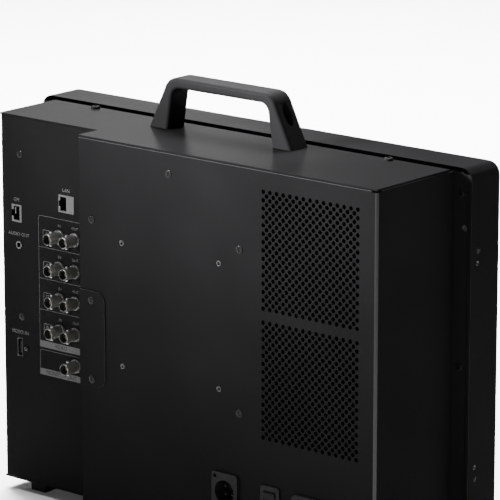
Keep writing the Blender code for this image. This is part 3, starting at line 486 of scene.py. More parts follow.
def perforated(shape, centre, front, back):
    """Add a square of sheet with staggered round holes, closed all round."""
    half = hole_pitch / 2
    last = 2 * (hole_columns - 1)
    start = (centre.x - last * half / 2, centre.z - last * half / 2)
    corner = {}

    def at(a, b, y):
        """The shared point at whole half-pitches a and b."""
        if (a, b, y) not in corner:
            corner[a, b, y] = shape.verts.new((start[0] + a * half, y, start[1] + b * half))
        return corner[a, b, y]

    steps = 5
    turns = [math.tau * k / (4 * (steps - 1)) for k in range(4 * (steps - 1))]
    for a in range(last + 1):
        for b in range(last + 1):
            if (a + b) % 2:
                continue
            rings = []
            for y in (front, back):
                x, z = start[0] + a * half, start[1] + b * half
                ring = [
                    shape.verts.new((
                        x + hole_radius * math.cos(t), y, z + hole_radius * math.sin(t)
                    ))
                    for t in turns
                ]
                ends = [(a + 1, b), (a, b + 1), (a - 1, b), (a, b - 1)]
                for k in range(4):
                    arc = [ring[(k * (steps - 1) + i) % len(ring)] for i in range(steps)]
                    shape.faces.new([at(*ends[k], y), at(*ends[(k + 1) % 4], y), *arc[::-1]])
                rings.append(ring)
            for i in range(len(turns)):
                j = (i + 1) % len(turns)
                shape.faces.new((rings[0][i], rings[0][j], rings[1][j], rings[1][i]))

    edge = [-1, *range(0, last + 1, 2)]
    rim = [spin((k, -1), side, last) for side in range(4) for k in edge]
    for a, b in zip(rim, rim[1:] + rim[:1]):
        shape.faces.new((at(*a, front), at(*b, front), at(*b, back), at(*a, back)))
    for y in (front, back):
        for side in range(4):
            triangles = [[(-1, -1), (-1, 0), (0, -1)]]
            triangles += [[(k, -1), (k + 1, 0), (k + 2, -1)] for k in range(0, last, 2)]
            for points in triangles:
                shape.faces.new([at(*spin(point, side, last), y) for point in points])


def spin(point, side, last):
    """A lattice point turned about the middle of the lattice by quarter turns."""
    a, b = point
    for _ in range(side):
        a, b = last - b, a
    return a, b


def rear_cover():
    """Folded rear sheet with its windows and holes, and the two perforated fields in it."""
    end = cover_low.y
    step_end = panel_y - sheet - gap
    inner = fold - sheet
    outline = rounded([
        (side_x, end, 0), (side_x, rear_y, fold), (step_x, rear_y, step_fold),
        (step_x, step_end, 0), (step_x - sheet, step_end, 0), (step_x - sheet, rear_y - sheet, 0),
        (side_x + sheet, rear_y - sheet, inner), (side_x + sheet, end, 0),
    ], 10)
    shape = bmesh.new()
    top = lid_high.z - sheet - gap
    layers = prism(shape, outline, "Z", floor_high.z + gap, top)
    rim = {v for layer in layers for v in layer}
    edges = [e for e in shape.edges if set(e.verts) <= rim and is_level(e)]
    # The level cut edges are rounded in the glossier edge coat: a painted highlight line.
    bmesh.ops.bevel(shape, geom=edges, offset=cut_edge, segments=2, affect="EDGES", material=1)
    # The middle of the side fold gets the glossier edge coat: a painted highlight down the fold.
    highlight_from = fold - fold_ends * fold
    for face in shape.faces:
        at = face.calc_center_median()
        if at.x - side_x < highlight_from and rear_y - at.y < highlight_from:
            face.material_index = 1
    cover = draw("rear_cover_look", shape, black_coat, highlight_edge_coat)

    through = (rear_y - 0.006, rear_y + 0.005)
    cuts = bmesh.new()
    side = hole_columns * hole_pitch
    for node in ("grille_upper", "grille_lower"):
        at = middle(node)
        prism(cuts, rectangle(side, side, 0, (at.x, at.z)), "Y", *through)
    for x, z in mount_holes():
        rod(cuts, "Y", (x, 0, z), mount_bore + 0.0004, *through)
    block(
        cuts, (side_x - 0.001, side_x + corner_notch), (rear_y - corner_notch, rear_y + 0.001),
        (top - notch_depth, top + 0.001),
    )
    height = middle("power_inlet").z
    for node, size in windows.items():
        prism(cuts, rectangle(*size, (middle(node).x, height)), "Y", *through)
    cut(cover, cuts)
    fields = bmesh.new()
    fields.from_mesh(cover.data)
    for node in ("grille_upper", "grille_lower"):
        perforated(fields, middle(node), rear_y, rear_y - sheet)
    bmesh.ops.recalc_face_normals(fields, faces=fields.faces)
    fields.to_mesh(cover.data)
    fields.free()
    settle(cover, "black_coat", "rear_cover", "grille_upper", "grille_lower")


def is_level(edge):
    """Whether an edge lies flat, along X and Y."""
    return abs(edge.verts[0].co.z - edge.verts[1].co.z) < 1e-6


def mount_holes():
    """X and Z of the four wall-mount holes, round the middle of the plate behind them."""
    at = middle("vesa_bracket")
    for x in (-mount_pitch / 2, mount_pitch / 2):
        for z in (-mount_pitch / 2, mount_pitch / 2):
            yield at.x + x, at.z + z


def threaded_bush(name, centre, axis, outward, radius, depth):
    """A plated threaded hole: a short tube with a ridged bore, set just under the face."""
    shape = bmesh.new()
    wall = radius * 0.82
    profile = [(0, -depth), (radius, -depth), (radius, -0.0003), (wall, -0.0003)]
    turns = 8
    pitch = (depth - 0.0006) / turns
    for k in range(turns):
        profile.append((wall, -0.0004 - k * pitch))
        profile.append((wall * 0.86, -0.0004 - (k + 0.5) * pitch))
    profile.append((0, -depth + 0.0002))
    turn(shape, [(r, h * outward) for r, h in profile], axis, centre, 24)
    settle(draw(name, shape, thread_plate), "bright_plate")


def lid():
    """The top cover, in the top coat with its painted sheen, and with its channel before the
    housing painted near-black as shade.
    """
    made = copy_of("top_cover", top_sheen_coat, shade_and_fan_black)
    # The lid's strip down in the channel gets near-black: painted shade.
    for face in made.data.polygons:
        if face.center.z < lid_high.z - 0.0004 and face.center.y < flange_y + channel_width:
            face.material_index = 1
    settle(ease(made, 0.0003, 3), "black_coat", "top_cover")


def housing():
    """The screen housing, with recesses in its sides, its top in the top coat as a painted sheen,
    and its rear rim painted near-black as shade.
    """
    made = copy_of("front_housing", black_coat, highlight_edge_coat, shade_and_fan_black, top_sheen_coat)
    # The housing is split at this level, so that its rear rim above it can take the near-black
    # painted shade.
    level = lid_high.z - rim_depth
    shape = bmesh.new()
    shape.from_mesh(made.data)
    everything = [*shape.verts, *shape.edges, *shape.faces]
    bmesh.ops.bisect_plane(shape, geom=everything, plane_co=(0, 0, level), plane_no=(0, 0, 1))
    shape.to_mesh(made.data)
    shape.free()
    cuts = bmesh.new()
    for sign in (1, -1):
        edge = housing_high.x * sign
        for z in side_screw_heights:
            rod(cuts, "X", (edge, side_screw_y, z), side_recess, -0.0008, 0.0008)
        for z in side_thread_heights:
            rod(cuts, "X", (edge, side_thread_y, z), side_hole, -0.0028, 0.0028)
    cut(made, cuts)
    # Its rounded edges get the glossier edge coat: a painted highlight.
    ease(made, 0.0004, 3)
    bake(made)
    # Top faces above the split get the top coat, a painted sheen; the rear rim gets near-black,
    # painted shade.
    for face in made.data.polygons:
        if face.center.z > level and face.normal.z > 0.8:
            face.material_index = 3
        elif face.center.z > level and face.center.y > flange_y:
            face.material_index = 2
    settle(made, "black_coat", "front_housing")


def flange():
    """The housing's back plate, with its threaded holes for rack ears."""
    made = copy_of("housing_back", black_coat)
    cuts = bmesh.new()
    for sign in (1, -1):
        for z in flange_thread_heights:
            at = (sign * (housing_high.x - flange_thread_inset), flange_y, z)
            rod(cuts, "Y", at, flange_hole, -0.0018, 0.001)
    cut(made, cuts)
    settle(ease(made, 0.0004), "black_coat", "housing_back")


def access_plate():
    """The small plate over the opening beside the step, with a lighter coat on its side edges as
    a painted highlight.
    """
    made = ease(copy_of("access_plate", black_coat), 0.0004, 3)
    bake(made)
    made.data.materials.append(plate_highlight_edge)
    # The side faces and bevels, but for those facing +X, get the lighter coat: a painted
    # highlight.
    for face in made.data.polygons:
        if abs(face.normal.y) < 0.9 and face.normal.x < 0.5:
            face.material_index = 1
    settle(made, "black_coat", "access_plate")


def sheet_metal():
    """Every coated sheet of the box and the housing."""
    rear_cover()
    lid()
    # The connector panel's rounded edges get the glossier edge coat: a painted highlight.
    eased("connector_panel", "black_coat", 0.0003, black_coat, highlight_edge_coat)
    eased("bottom_cover", "black_coat", 0.0003, black_coat)
    housing()
    flange()
    access_plate()
    for i, (x, z) in enumerate(mount_holes()):
        at = (x, rear_y, z)
        threaded_bush(f"mount_thread_{i + 1}", at, "Y", 1, mount_bore, mount_depth)


# Handle ---------------------------------------------------


def carry_handle():
    """Cast handle: two spreading legs and a flat bar, well rounded, with a well in each leg."""
    low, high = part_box("carry_handle")
    half = high.x
    height = high.z - low.z
    y = (low.y + high.y) / 2
    deep = high.y - low.y
    lean = math.tan(handle_lean)
    inner_lean = math.tan(handle_inner_lean)
    below = 0.006      # the legs are drawn too long, rounded, then cut flat
    under_bar = height - handle_bar
    inner = half - handle_leg
    corners = [
        (half + below * lean, -below, 0), (half - height * lean, height, handle_top_corner),
        (-half + height * lean, height, handle_top_corner), (-half - below * lean, -below, 0),
        (-inner - below * inner_lean, -below, 0),
        (-inner + under_bar * inner_lean, under_bar, handle_inner_corner),
        (inner - under_bar * inner_lean, under_bar, handle_inner_corner),
        (inner + below * inner_lean, -below, 0),
    ]
    outline = [(a, low.z + b) for a, b in rounded(corners, 14)]
    shape = bmesh.new()
    prism(shape, outline, "Y", y - deep / 2, y + deep / 2)
    handle = ease(draw("carry_handle_look", shape, handle_coat), handle_round, 6, 50)
    bake(handle)

    cuts = bmesh.new()
    block(cuts, (-half - 0.02, half + 0.02), (y - 0.03, y + 0.03), (low.z - 2 * below, low.z))
    cut(handle, cuts)
    wells = bmesh.new()
    for node in ("handle_screw_left", "handle_screw_right"):
        at = middle(node)
        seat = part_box(node)[1].z - well_floor
        rod(wells, "Z", (at.x, at.y, 0), handle_well, seat, high.z + 0.01, 40)
    cut(handle, wells)
    ease(handle, 0.00025, 2, 55)
    settle(handle, "handle_coat", "carry_handle")


# Screws ---------------------------------------------------

heads = {}


def screw_mesh(radius, height, socket, finish):
    """A domed screw head with its recess, drawn upwards from the face under it."""
    key = (radius, height, socket, finish.name)
    if key in heads:
        return heads[key]
    shape = bmesh.new()
    stem, below = radius * shank, -0.004
    profile = [
        (0, below), (stem, below), (stem, 0), (radius, 0), (radius, height * 0.45),
        (radius * 0.97, height * 0.62), (radius * 0.9, height * 0.78),
        (radius * 0.78, height * 0.91), (radius * 0.6, height), (0, height),
    ]
    turn(shape, profile, steps=32)
    head = draw("screw_head", shape, finish)
    recess = bmesh.new()
    deep = height * 0.7
    if socket == "hex":
        across = [math.tau * k / 6 for k in range(6)]
        outline = [(radius * 0.5 * math.cos(t), radius * 0.5 * math.sin(t)) for t in across]
        prism(recess, outline, "Z", height - deep, height + 0.001)
    else:
        long, thin = radius * 0.6, radius * 0.13
        block(recess, (-long, long), (-thin, thin), (height - deep, height + 0.001))
        cut(head, recess)
        recess = bmesh.new()
        block(recess, (-thin, thin), (-long, long), (height - deep, height + 0.001))
    cut(head, recess)
    heads[key] = head.data
    bpy.data.objects.remove(head)
    return heads[key]


def screw(name, place_at, direction, radius, height, *nodes, socket="cross", finish=None):
    """A screw whose head stands on a face and points along a direction."""
    mesh = screw_mesh(radius, height, socket, finish or black_screw)
    head = bpy.data.objects.new(name, mesh)
    bpy.context.collection.objects.link(head)
    head.rotation_mode = "QUATERNION"
    head.rotation_quaternion = Vector(direction).to_track_quat("Z", "Y")
    head.location = place_at
    settle(head, "black_screw", *nodes)


def screws():
    """Every screw that shows."""
    back, up, left, right = (0, 1, 0), (0, 0, 1), (1, 0, 0), (-1, 0, 0)
    for k in (1, 2, 3):
        at = middle(f"cover_screw_{k}")
        screw(f"rear_screw_{k}", (at.x, rear_y, at.z), back, *cover_head, f"cover_screw_{k}")
    third = middle("cover_screw_3")
    screw("rear_screw_4", (third.x, rear_y, third.z - cover_screw_drop), back, *cover_head)
    for side in ("upper", "lower"):
        node = f"access_screw_{side}"
        at = middle(node)
        screw(f"plate_screw_{side}", (at.x, plate_high.y, at.z), back, *plate_head, node)
    for side in ("left", "right"):
        node = f"top_screw_{side}"
        at = middle(node)
        screw(
            f"lid_screw_{side}", (at.x, at.y, lid_high.z), up, *lid_head, node,
            socket="hex", finish=matt_screw,
        )
        node = f"handle_screw_{side}"
        at = middle(node)
        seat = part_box(node)[1].z - well_seat
        screw(f"well_screw_{side}", (at.x, at.y, seat), up, *well_head, node, socket="hex")
    for name, drop in panel_screw_drops.items():
        at = (panel_high.x - panel_screw_inset, panel_y, lid_high.z - drop)
        screw(f"panel_screw_{name}", at, back, *panel_head)
    port = middle("video_jack")
    screw(
        "video_lock_screw", (port.x - lock_screw_offset, panel_y, port.z), back, *lock_head,
        socket="hex", finish=dark_shell,
    )
    for side, outward in (("left", left), ("right", right)):
        sign = outward[0]
        edge = housing_high.x * sign
        for k, z in enumerate(flange_screw_heights):
            at = (edge - sign * flange_screw_inset, flange_y, z)
            screw(f"flange_screw_{side}_{k + 1}", at, back, *flange_head)
        for k, z in enumerate(flange_thread_heights):
            at = (edge - sign * flange_thread_inset, flange_y, z)
            threaded_bush(f"flange_thread_{side}_{k + 1}", at, "Y", 1, *flange_thread)
        for k, z in enumerate(side_screw_heights):
            at = (edge - sign * side_screw_sunk, side_screw_y, z)
            screw(f"side_screw_{side}_{k + 1}", at, outward, *side_head)
        for k, z in enumerate(side_thread_heights):
            at = (edge, side_thread_y, z)
            threaded_bush(f"side_thread_{side}_{k + 1}", at, "X", sign, *side_thread)


# Connectors -----------------------------------------------


def coaxial_mesh():
    """One coaxial jack round its own axis: collar, barrel, bayonet lugs, core and contact."""
    low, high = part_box("bnc_in_1")
    reach = high.y - panel_y
    back = low.y - panel_y
    behind = -sheet - gap
    shape = bmesh.new()
    ring = [
        (0, gap), (collar, gap), (collar, gap + 0.0015), (0.0054, gap + 0.0019),
        (0, gap + 0.0019),
    ]
    turn(shape, ring, "Y", steps=40)
    shell = [
        (0, back), (0.006, back), (0.006, behind), (barrel - 0.0003, behind),
        (barrel - 0.0003, 0.0034), (barrel, 0.0038), (barrel, reach - 0.0012),
        (barrel - 0.0004, reach - 0.0002), (barrel - 0.0006, reach), (bore + 0.0001, reach),
        (bore, reach - 0.0003), (bore, 0.0035), (0, 0.0035),
    ]
    turn(shape, shell, "Y", steps=40)
    for sign in (1, -1):
        start, end = sorted((sign * (barrel - 0.0006), sign * (barrel + 0.0011)))
        rod(shape, "Z", (0, reach - 0.0052, 0), 0.0011, start, end, 18)
    core = [
        (0, 0.0036), (0.0024, 0.0036), (0.0024, reach - 0.0042), (0.0011, reach - 0.0042),
        (0.0011, reach - 0.005), (0, reach - 0.005),
    ]
    turn(shape, core, "Y", steps=28, material=1)
    contact = [
        (0, reach - 0.0062), (0.00075, reach - 0.0062), (0.00075, reach - 0.0036),
        (0.0004, reach - 0.0036), (0.0004, reach - 0.005), (0, reach - 0.005),
    ]
    turn(shape, contact, "Y", steps=16, material=2)
    jack = draw("coaxial_jack", shape, nickel, core_and_bore_shade, gold)
    mesh = jack.data
    # The nickel walls inside the bore get the core's black: painted shade in the bore.
    for face in mesh.polygons:
        in_bore = math.hypot(face.center.x, face.center.z) < bore + 0.0001
        if in_bore and face.material_index == 0 and face.center.y < reach - 0.0004:
            face.material_index = 1
    bpy.data.objects.remove(jack)
    return mesh


def coaxial_jacks():
    """The nine coaxial jacks, which share one mesh."""
    mesh = coaxial_mesh()
    names = [f"bnc_{way}_{row}" for row in (1, 2, 3, 4) for way in ("in", "out")]
    for node in [*names, "bnc_monitor_out"]:
        at = middle(node)
        jack = bpy.data.objects.new(f"{node}_look", mesh)
        bpy.context.collection.objects.link(jack)
        jack.location = (at.x, panel_y, at.z)
        settle(jack, "bright_plate", node)


def line_mouth(made, depth_from, material):
    """Give the faces inside a jack's mouth, below its front face, another material: the dark one,
    partly the jack's own dark plastic and partly painted shade.
    """
    low, high = Vector((1e9,) * 3), Vector((-1e9,) * 3)
    for vertex in made.data.vertices:
        low = Vector(map(min, low, vertex.co))
        high = Vector(map(max, high, vertex.co))
    edge = 0.0002
    for face in made.data.polygons:
        at = face.center
        inside = low.x + edge < at.x < high.x - edge and low.z + edge < at.z < high.z - edge
        if inside and low.y + edge < at.y < high.y - depth_from:
            face.material_index = material


def set_flush(jack):
    """Draw a jack's face back to the face of the connector panel."""
    for vertex in jack.data.vertices:
        vertex.co.y = min(vertex.co.y, panel_y + flush)


def open_side(jack, at, high, covered):
    """Open a jack's mouth towards its latch, and stand a tongue in it."""
    slot = bmesh.new()
    block(
        slot, (at.x, high.x - covered[1] + 0.0003), (high.y - 0.007, high.y + 0.001),
        (at.z - 0.0027, at.z + 0.0027),
    )
    cut(jack, slot)
    tongue = bmesh.new()
    across = at.x + 0.0005
    block(
        tongue, (across, across + 0.0011), (panel_y - 0.006, panel_y - 0.0007),
        (at.z - 0.0008, at.z + 0.0048),
    )
    settle(draw("gpi_jack_tongue", tongue, jack_shell), "bright_plate")


def data_jacks():
    """The two data jacks turned on their side, with their trim and contacts."""
    for node in ("lan_jack", "gpi_jack"):
        low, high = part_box(node)
        at = middle(node)
        jack = copy_of(node, jack_shell, mouth_shade_and_inner_dark)
        covered = data_jack_covered[node]
        if node == "gpi_jack":
            open_side(jack, at, high, covered)
        line_mouth(jack, 0.0005, 1)
        set_flush(jack)
        trim = bmesh.new()
        wide, tall = high.x - low.x, high.z - low.z
        outer = rectangle(wide + 2 * trim_spare, tall + 2 * trim_spare, 0, (at.x, at.z))
        seen = at.x + (covered[0] - covered[1]) / 2
        inner = rectangle(wide - sum(covered), tall - 2 * trim_spare, 0, (seen, at.z))
        add_ring(trim, outer, inner)
        settle(draw(f"{node}_trim", trim, black_coat), "black_coat")
        settle(ease(jack, 0.0002), "bright_plate", node)
        mouth = at.x - 0.0004 if node == "lan_jack" else at.x - 0.0038
        contacts = bmesh.new()
        for k in range(contact_count):
            z = at.z + (k - (contact_count - 1) / 2) * contact_pitch
            block(
                contacts, (mouth + 0.0004, mouth + 0.0014), (high.y - 0.009, high.y - 0.0022),
                (z - 0.0002, z + 0.0002),
            )
        settle(draw(f"{node}_contacts", contacts, gold), "bright_plate")


def audio_jack():
    """Audio jack: a ring nut with a dark bore."""
    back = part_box("audio_jack")[0].y - panel_y
    at = middle("audio_jack")
    reach = 0.0009
    shape = bmesh.new()
    ring = [
        (0.0019, -0.008), (0.0026, -0.008), (0.0026, gap), (0.0032, gap),
        (0.0032, reach - 0.0002), (0.0029, reach), (0.0023, reach), (0.0019, reach - 0.0003),
    ]
    turn(shape, [*ring, ring[0]], "Y", (at.x, panel_y, at.z), 36)
    bmesh.ops.remove_doubles(shape, verts=shape.verts, dist=1e-7)
    rod(shape, "Y", (at.x, panel_y, at.z), 0.004, back, -0.0082, 28, material=1)
    jack = draw("audio_jack_look", shape, jack_shell, mouth_shade_and_inner_dark)
    settle(jack, "bright_plate", "audio_jack")


def video_jack():
    """Video jack on its side, with a dark mouth: the tongue's own black, and painted shade on the
    walls round it.
    """
    jack = copy_of("video_jack", dark_shell, mouth_shade_and_inner_dark)
    line_mouth(jack, 0.0006, 1)
    set_flush(jack)
    settle(ease(jack, 0.0002), "bright_plate", "video_jack")


# Printing -------------------------------------------------

rear_facing = Matrix(((-1, 0, 0), (0, 0, 1), (0, 1, 0)))
front_facing = Matrix(((1, 0, 0), (0, 0, -1), (0, 1, 0)))


def add_word(shape, word, at, height, facing, material=0):
    """Add a word, centred on a point, to a shape."""
    curve = bpy.data.curves.new("word", "FONT")
    curve.body = word
    curve.size = height / 0.7
    curve.align_x = "CENTER"
    curve.align_y = "CENTER"
    curve.extrude = print_height / 2
    curve.resolution_u = 3
    made = bpy.data.objects.new("word", curve)
    bpy.context.collection.objects.link(made)
    scene = bpy.context.evaluated_depsgraph_get()
    mesh = bpy.data.meshes.new_from_object(made.evaluated_get(scene))
    mesh.transform(Matrix.Translation(at) @ facing.to_4x4())
    for face in mesh.polygons:
        face.material_index = material
    shape.from_mesh(mesh)
    bpy.data.objects.remove(made)
    bpy.data.meshes.remove(mesh)


def frame_lines(shape, left, right, bottom, top, rules, band):
    """Printed frame: a left line turning into the top one, rules across, and a band below."""
    y = (panel_y, panel_y + print_height)
    width = print_width
    outer = rounded([(right, top, 0), (left, top, frame_corner), (left, bottom, 0)], 6)
    inner = rounded([
        (left - width, bottom, 0), (left - width, top - width, frame_corner - width),
        (right, top - width, 0),
    ], 6)
    prism(shape, outer + inner, "Y", *y, 1)
    for z in rules:
        block(shape, (right, left - width), y, (z - width / 2, z + width / 2), 1)
    block(shape, (right, left - width), y, (bottom, bottom + band), 1)


def printing():
    """Printed frames, bars and words on the connector panel."""
    shape = bmesh.new()
    right = step_x + frame_start
    left = step_x + frame_end
    rows = [middle(f"bnc_out_{row}").z for row in (1, 2, 3, 4)]
    pitch = rows[0] - rows[1]
    top = rows[0] + frame_rise
    rules = [top - pitch * k for k in (1, 2, 3)]
    bottom = rules[2] - pitch - input_band
    frame_lines(shape, left, right, bottom, top, rules, input_band)
    second = bottom - frame_space
    frame_lines(shape, left, right, second - output_frame, second, [], output_band)

    def word_at(word, x, z, height):
        """Print a pale word on the panel."""
        at = Vector((x, panel_y + print_height / 2, z))
        add_word(shape, word, at, height, rear_facing)

    for row, letter in zip(rows, "ABCD"):
        for node, word in (("bnc_in_1", "IN"), ("bnc_out_1", "OUT")):
            word_at(word, middle(node).x, row + 0.0089, 0.0023)
        centre = (step_x + letter_place, row - 0.0004)
        outline = rectangle(*letter_box, centre, 3)
        hollow = rectangle(*letter_hollow, centre, 3)
        add_ring(shape, outline, hollow)
        word_at(letter, *centre, 0.0034)
    raised = print_height + 0.00002
    words = (("VIDEO", rules[2] - pitch - input_band / 2), ("MONITOR OUT", second - 0.0187))
    for word, z in words:
        at = Vector((step_x + heading_place, panel_y + raised, z))
        add_word(shape, word, at, 0.0033, rear_facing, 2)
    for node, word in (("lan_jack", "LAN"), ("gpi_jack", "GPI")):
        word_at(word, middle(node).x - 0.0006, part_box(node)[1].z + 0.0035, 0.003)
    audio = middle("audio_jack")
    word_at("AUDIO OUT", audio.x + 0.0005, audio.z + 0.0086, 0.0029)
    port = middle("video_jack")
    word_at("VIDEO IN", port.x - 0.0004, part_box("video_jack")[1].z + 0.0052, 0.0032)
    made = draw("panel_printing", shape, print_light, print_grey, print_black)
    settle(made, "black_coat")


def add_ring(shape, outer, inner):
    """Add a flat printed outline between two outlines with the same number of points."""
    count = len(outer)
    rings = []
    for outline in (outer, inner):
        for y in (panel_y, panel_y + print_height):
            rings.append([shape.verts.new((a, y, b)) for a, b in outline])
    low_outer, high_outer, low_inner, high_inner = rings
    for i in range(count):
        j = (i + 1) % count
        shape.faces.new((high_outer[i], high_outer[j], high_inner[j], high_inner[i]))
        shape.faces.new((low_outer[i], low_inner[i], low_inner[j], low_outer[j]))
        shape.faces.new((low_outer[i], low_outer[j], high_outer[j], high_outer[i]))
        shape.faces.new((low_inner[i], high_inner[i], high_inner[j], low_inner[j]))


# Power entry, fans and feet -------------------------------


def power_entry():
    """Mains inlet, rocker switch and four-pin supply inlet."""
    for node in ("power_inlet", "dc_inlet", "switch_frame"):
        eased(node, "black_plastic", 0.0004, black_plastic)
    eased("switch_rocker", "black_plastic", 0.0003, black_plastic, body="switch_rocker")


def inside_and_feet():
    """Feet, fans, and what hardly shows behind the air outlets and the speaker slots."""
    for node in ("foot_left", "foot_right"):
        eased(node, "rubber", 0.0012, rubber, segments=3)
    finishes = {
        "fan_frame_upper": shade_and_fan_black, "fan_frame_lower": shade_and_fan_black,
        "fan_rotor_upper": shade_and_fan_black, "fan_rotor_lower": shade_and_fan_black,
        "lcd_panel": raw_aluminium, "panel_tray": mouth_shade_and_inner_dark, "vesa_bracket": mouth_shade_and_inner_dark,
        "handle_bracket": raw_steel, "main_board": board_green, "signal_board": board_green,
        "control_board": board_green, "heat_sink": raw_aluminium,
        "power_supply": supply_case, "encoder_shaft": raw_steel,
    }
    for node, finish in finishes.items():
        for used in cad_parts[node].material_slots:
            used.material = finish


# Front ----------------------------------------------------


def screen():
    """Glass with a thin dark margin round the picture area, and the signal lens above it."""
    glass = copy_of("screen_glass", panel_glass)
    settle(ease(glass, 0.0004, 3), "panel_glass", "screen_glass")
    low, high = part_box("screen_glass")
    width = high.x - low.x - 2 * screen_margin
    height = high.z - low.z - 2 * screen_margin
    shape = bmesh.new()
    outline = rectangle(width, height, 0.0005, (0, (low.z + high.z) / 2), 2)
    prism(shape, outline, "Y", low.y - 0.00004, low.y + 0.0001)
    settle(draw("picture_area", shape, screen_surface), "screen_surface")
    eased("tally_lens", "lens_plastic", 0.0003, lens_plastic)


def fluted(radius, depth, flutes, steps):
    """Points of a circle with shallow flutes."""
    points = []
    for k in range(steps):
        angle = math.tau * k / steps
        r = radius - depth * (0.5 - 0.5 * math.cos(flutes * angle))
        points.append((r * math.cos(angle), r * math.sin(angle)))
    return points


def menu_knob():
    """Fluted knob with a dished face and a pointer line."""
    low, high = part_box("menu_knob")
    at = middle("menu_knob")
    radius = (high.x - low.x) / 2
    rings = [
        (radius * 0.93, 0, high.y), (radius * 0.97, 0, high.y - 0.0006),
        (radius, 0, high.y - 0.0016), (radius, 0, high.y - 0.002),
        (radius, 0.0005, high.y - 0.0024), (radius, 0.0005, low.y + 0.0014),
        (radius * 0.985, 0.0003, low.y + 0.0008), (radius * 0.93, 0, low.y + 0.0002),
        (radius * 0.88, 0, low.y), (radius * 0.8, 0, low.y + 0.0001),
        (radius * 0.72, 0, low.y + 0.0007), (radius * 0.4, 0, low.y + 0.001),
    ]
    shape = bmesh.new()
    loft(shape, [
        [(at.x + a, y, at.z + b) for a, b in fluted(r, depth, knob_flutes, 6 * knob_flutes)]
        for r, depth, y in rings
    ])
    knob = draw("menu_knob_look", shape, black_plastic)
    hollow = bmesh.new()
    rod(hollow, "Y", (at.x, 0, at.z), knob_bore, high.y - 0.009, high.y + 0.001)
    cut(knob, hollow)
    settle(knob, "black_plastic", "menu_knob", body="menu_knob")
    line = bmesh.new()
    block(
        line, (at.x - 0.0004, at.x + 0.0004), (low.y, low.y + 0.0003),
        (at.z + radius * 0.81, at.z + radius * 0.9),
    )
    settle(draw("menu_knob_pointer", line, label_white), "black_plastic", body="menu_knob")


def buttons():
    """Function buttons and the power button, each with its mark."""
    for k in (1, 2, 3, 4):
        node = f"function_button_{k}"
        eased(node, "black_plastic", 0.0005, black_plastic, body=node, segments=3)
        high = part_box(node)[1]
        label = bmesh.new()
        at = Vector((middle(node).x, front_y - print_height / 2, high.z + label_rise))
        add_word(label, f"F{k}", at, 0.0024, front_facing)
        settle(draw(f"function_label_{k}", label, label_white), "black_coat")
    eased("power_button", "black_plastic", 0.0006, black_plastic, body="power_button", segments=3)
    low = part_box("power_button")[0]
    at = middle("power_button")
    mark = bmesh.new()
    arc = [mark_gap + (math.tau - 2 * mark_gap) * k / 24 for k in range(25)]
    outer, inner = [
        [(at.x + radius * math.sin(t), at.z + radius * math.cos(t)) for t in arc]
        for radius in mark_radii
    ]
    y = (low.y - print_height, low.y + 0.0001)
    prism(mark, outer + inner[::-1], "Y", *y)
    block(mark, (at.x - 0.00025, at.x + 0.00025), y, (at.z + 0.0006, at.z + 0.0028))
    settle(draw("power_mark", mark, label_white), "black_plastic", body="power_button")


# Stage ----------------------------------------------------


def camera():
    """A long lens from behind, above and to the side of the plain end."""
    data = bpy.data.cameras.new("camera")
    data.lens = 260.24
    data.clip_start = 0.1
    data.clip_end = 100.0
    made = bpy.data.objects.new("camera", data)
    bpy.context.collection.objects.link(made)
    made.location = (-1.7972, 2.1037, 0.9114)
    turned, tilted = 0.70073, 0.24321
    direction = Vector((
        math.sin(turned) * math.cos(tilted), -math.cos(turned) * math.cos(tilted),
        -math.sin(tilted),
    ))
    made.rotation_mode = "QUATERNION"
    made.rotation_quaternion = direction.to_track_quat("-Z", "Y")
    bpy.context.scene.camera = made


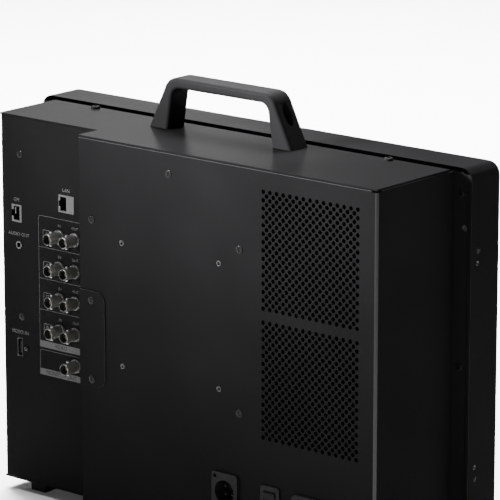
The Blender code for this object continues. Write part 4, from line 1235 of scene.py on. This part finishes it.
def softbox(name, at, aim, size, power, spread=180):
    """A square studio light that points at a spot, within a cone of some degrees."""
    data = bpy.data.lights.new(name, "AREA")
    data.shape = "RECTANGLE"
    data.size, data.size_y = size
    data.energy = power
    data.spread = math.radians(spread)
    made = bpy.data.objects.new(name, data)
    bpy.context.collection.objects.link(made)
    made.location = at
    made.rotation_mode = "QUATERNION"
    made.rotation_quaternion = (Vector(aim) - Vector(at)).to_track_quat("-Z", "Y")


def ground():
    """A pale floor that reaches past the horizon of every view."""
    pale = surface("pale_floor", (0.75, 0.75, 0.75), 0.7, mottle=0.01, relief=0.0)
    slab = bmesh.new()
    reach = (-30.0, 30.0)
    block(slab, reach, reach, (-0.02, 0.0))
    floor = draw("studio_floor", slab, pale)


def sky():
    """A dim even sky, which the camera sees as a pale backdrop."""
    world = bpy.data.worlds.new("studio_sky")
    world.use_nodes = True
    background = world.node_tree.nodes["Background"]
    background.inputs["Color"].default_value = (1, 1, 1, 1)
    background.inputs["Strength"].default_value = sky_strength
    bpy.context.scene.world = world
    nodes = world.node_tree.nodes
    links = world.node_tree.links
    backdrop = nodes.new("ShaderNodeBackground")
    backdrop.inputs["Color"].default_value = (*[backdrop_grey] * 3, 1)
    seen = nodes.new("ShaderNodeLightPath")
    mixed = nodes.new("ShaderNodeMixShader")
    links.new(seen.outputs["Is Camera Ray"], mixed.inputs["Fac"])
    links.new(background.outputs["Background"], mixed.inputs[1])
    links.new(backdrop.outputs["Background"], mixed.inputs[2])
    links.new(mixed.outputs["Shader"], nodes["World Output"].inputs["Surface"])


def lights():
    """One broad light from above, for the floor, and four softboxes round the object."""
    data = bpy.data.lights.new("overhead", "SUN")
    data.energy = overhead_power
    data.angle = overhead_angle
    bpy.context.collection.objects.link(bpy.data.objects.new("overhead", data))
    softbox("behind", (1.2, -1.4, 3.0), (0.8, -1.0, 0), (2.0, 1.6), 430, 90)
    softbox("low_behind", (1.7, -1.55, 0.95), (0.35, 0.0, 0.32), (0.7, 0.5), 0.27, 22)
    softbox("camera_side", (-0.9, 2.4, 0.55), (0, 0, 0.25), (0.3, 0.8), 3.0, 60)
    softbox("rear_left", (0.9, 1.3, 0.8), (-0.05, 0.07, 0.5), (0.25, 0.25), 10, 26)


sheet_metal()
carry_handle()
screws()
coaxial_jacks()
data_jacks()
audio_jack()
video_jack()
printing()
power_entry()
inside_and_feet()
screen()
menu_knob()
buttons()
camera()
ground()
sky()
lights()
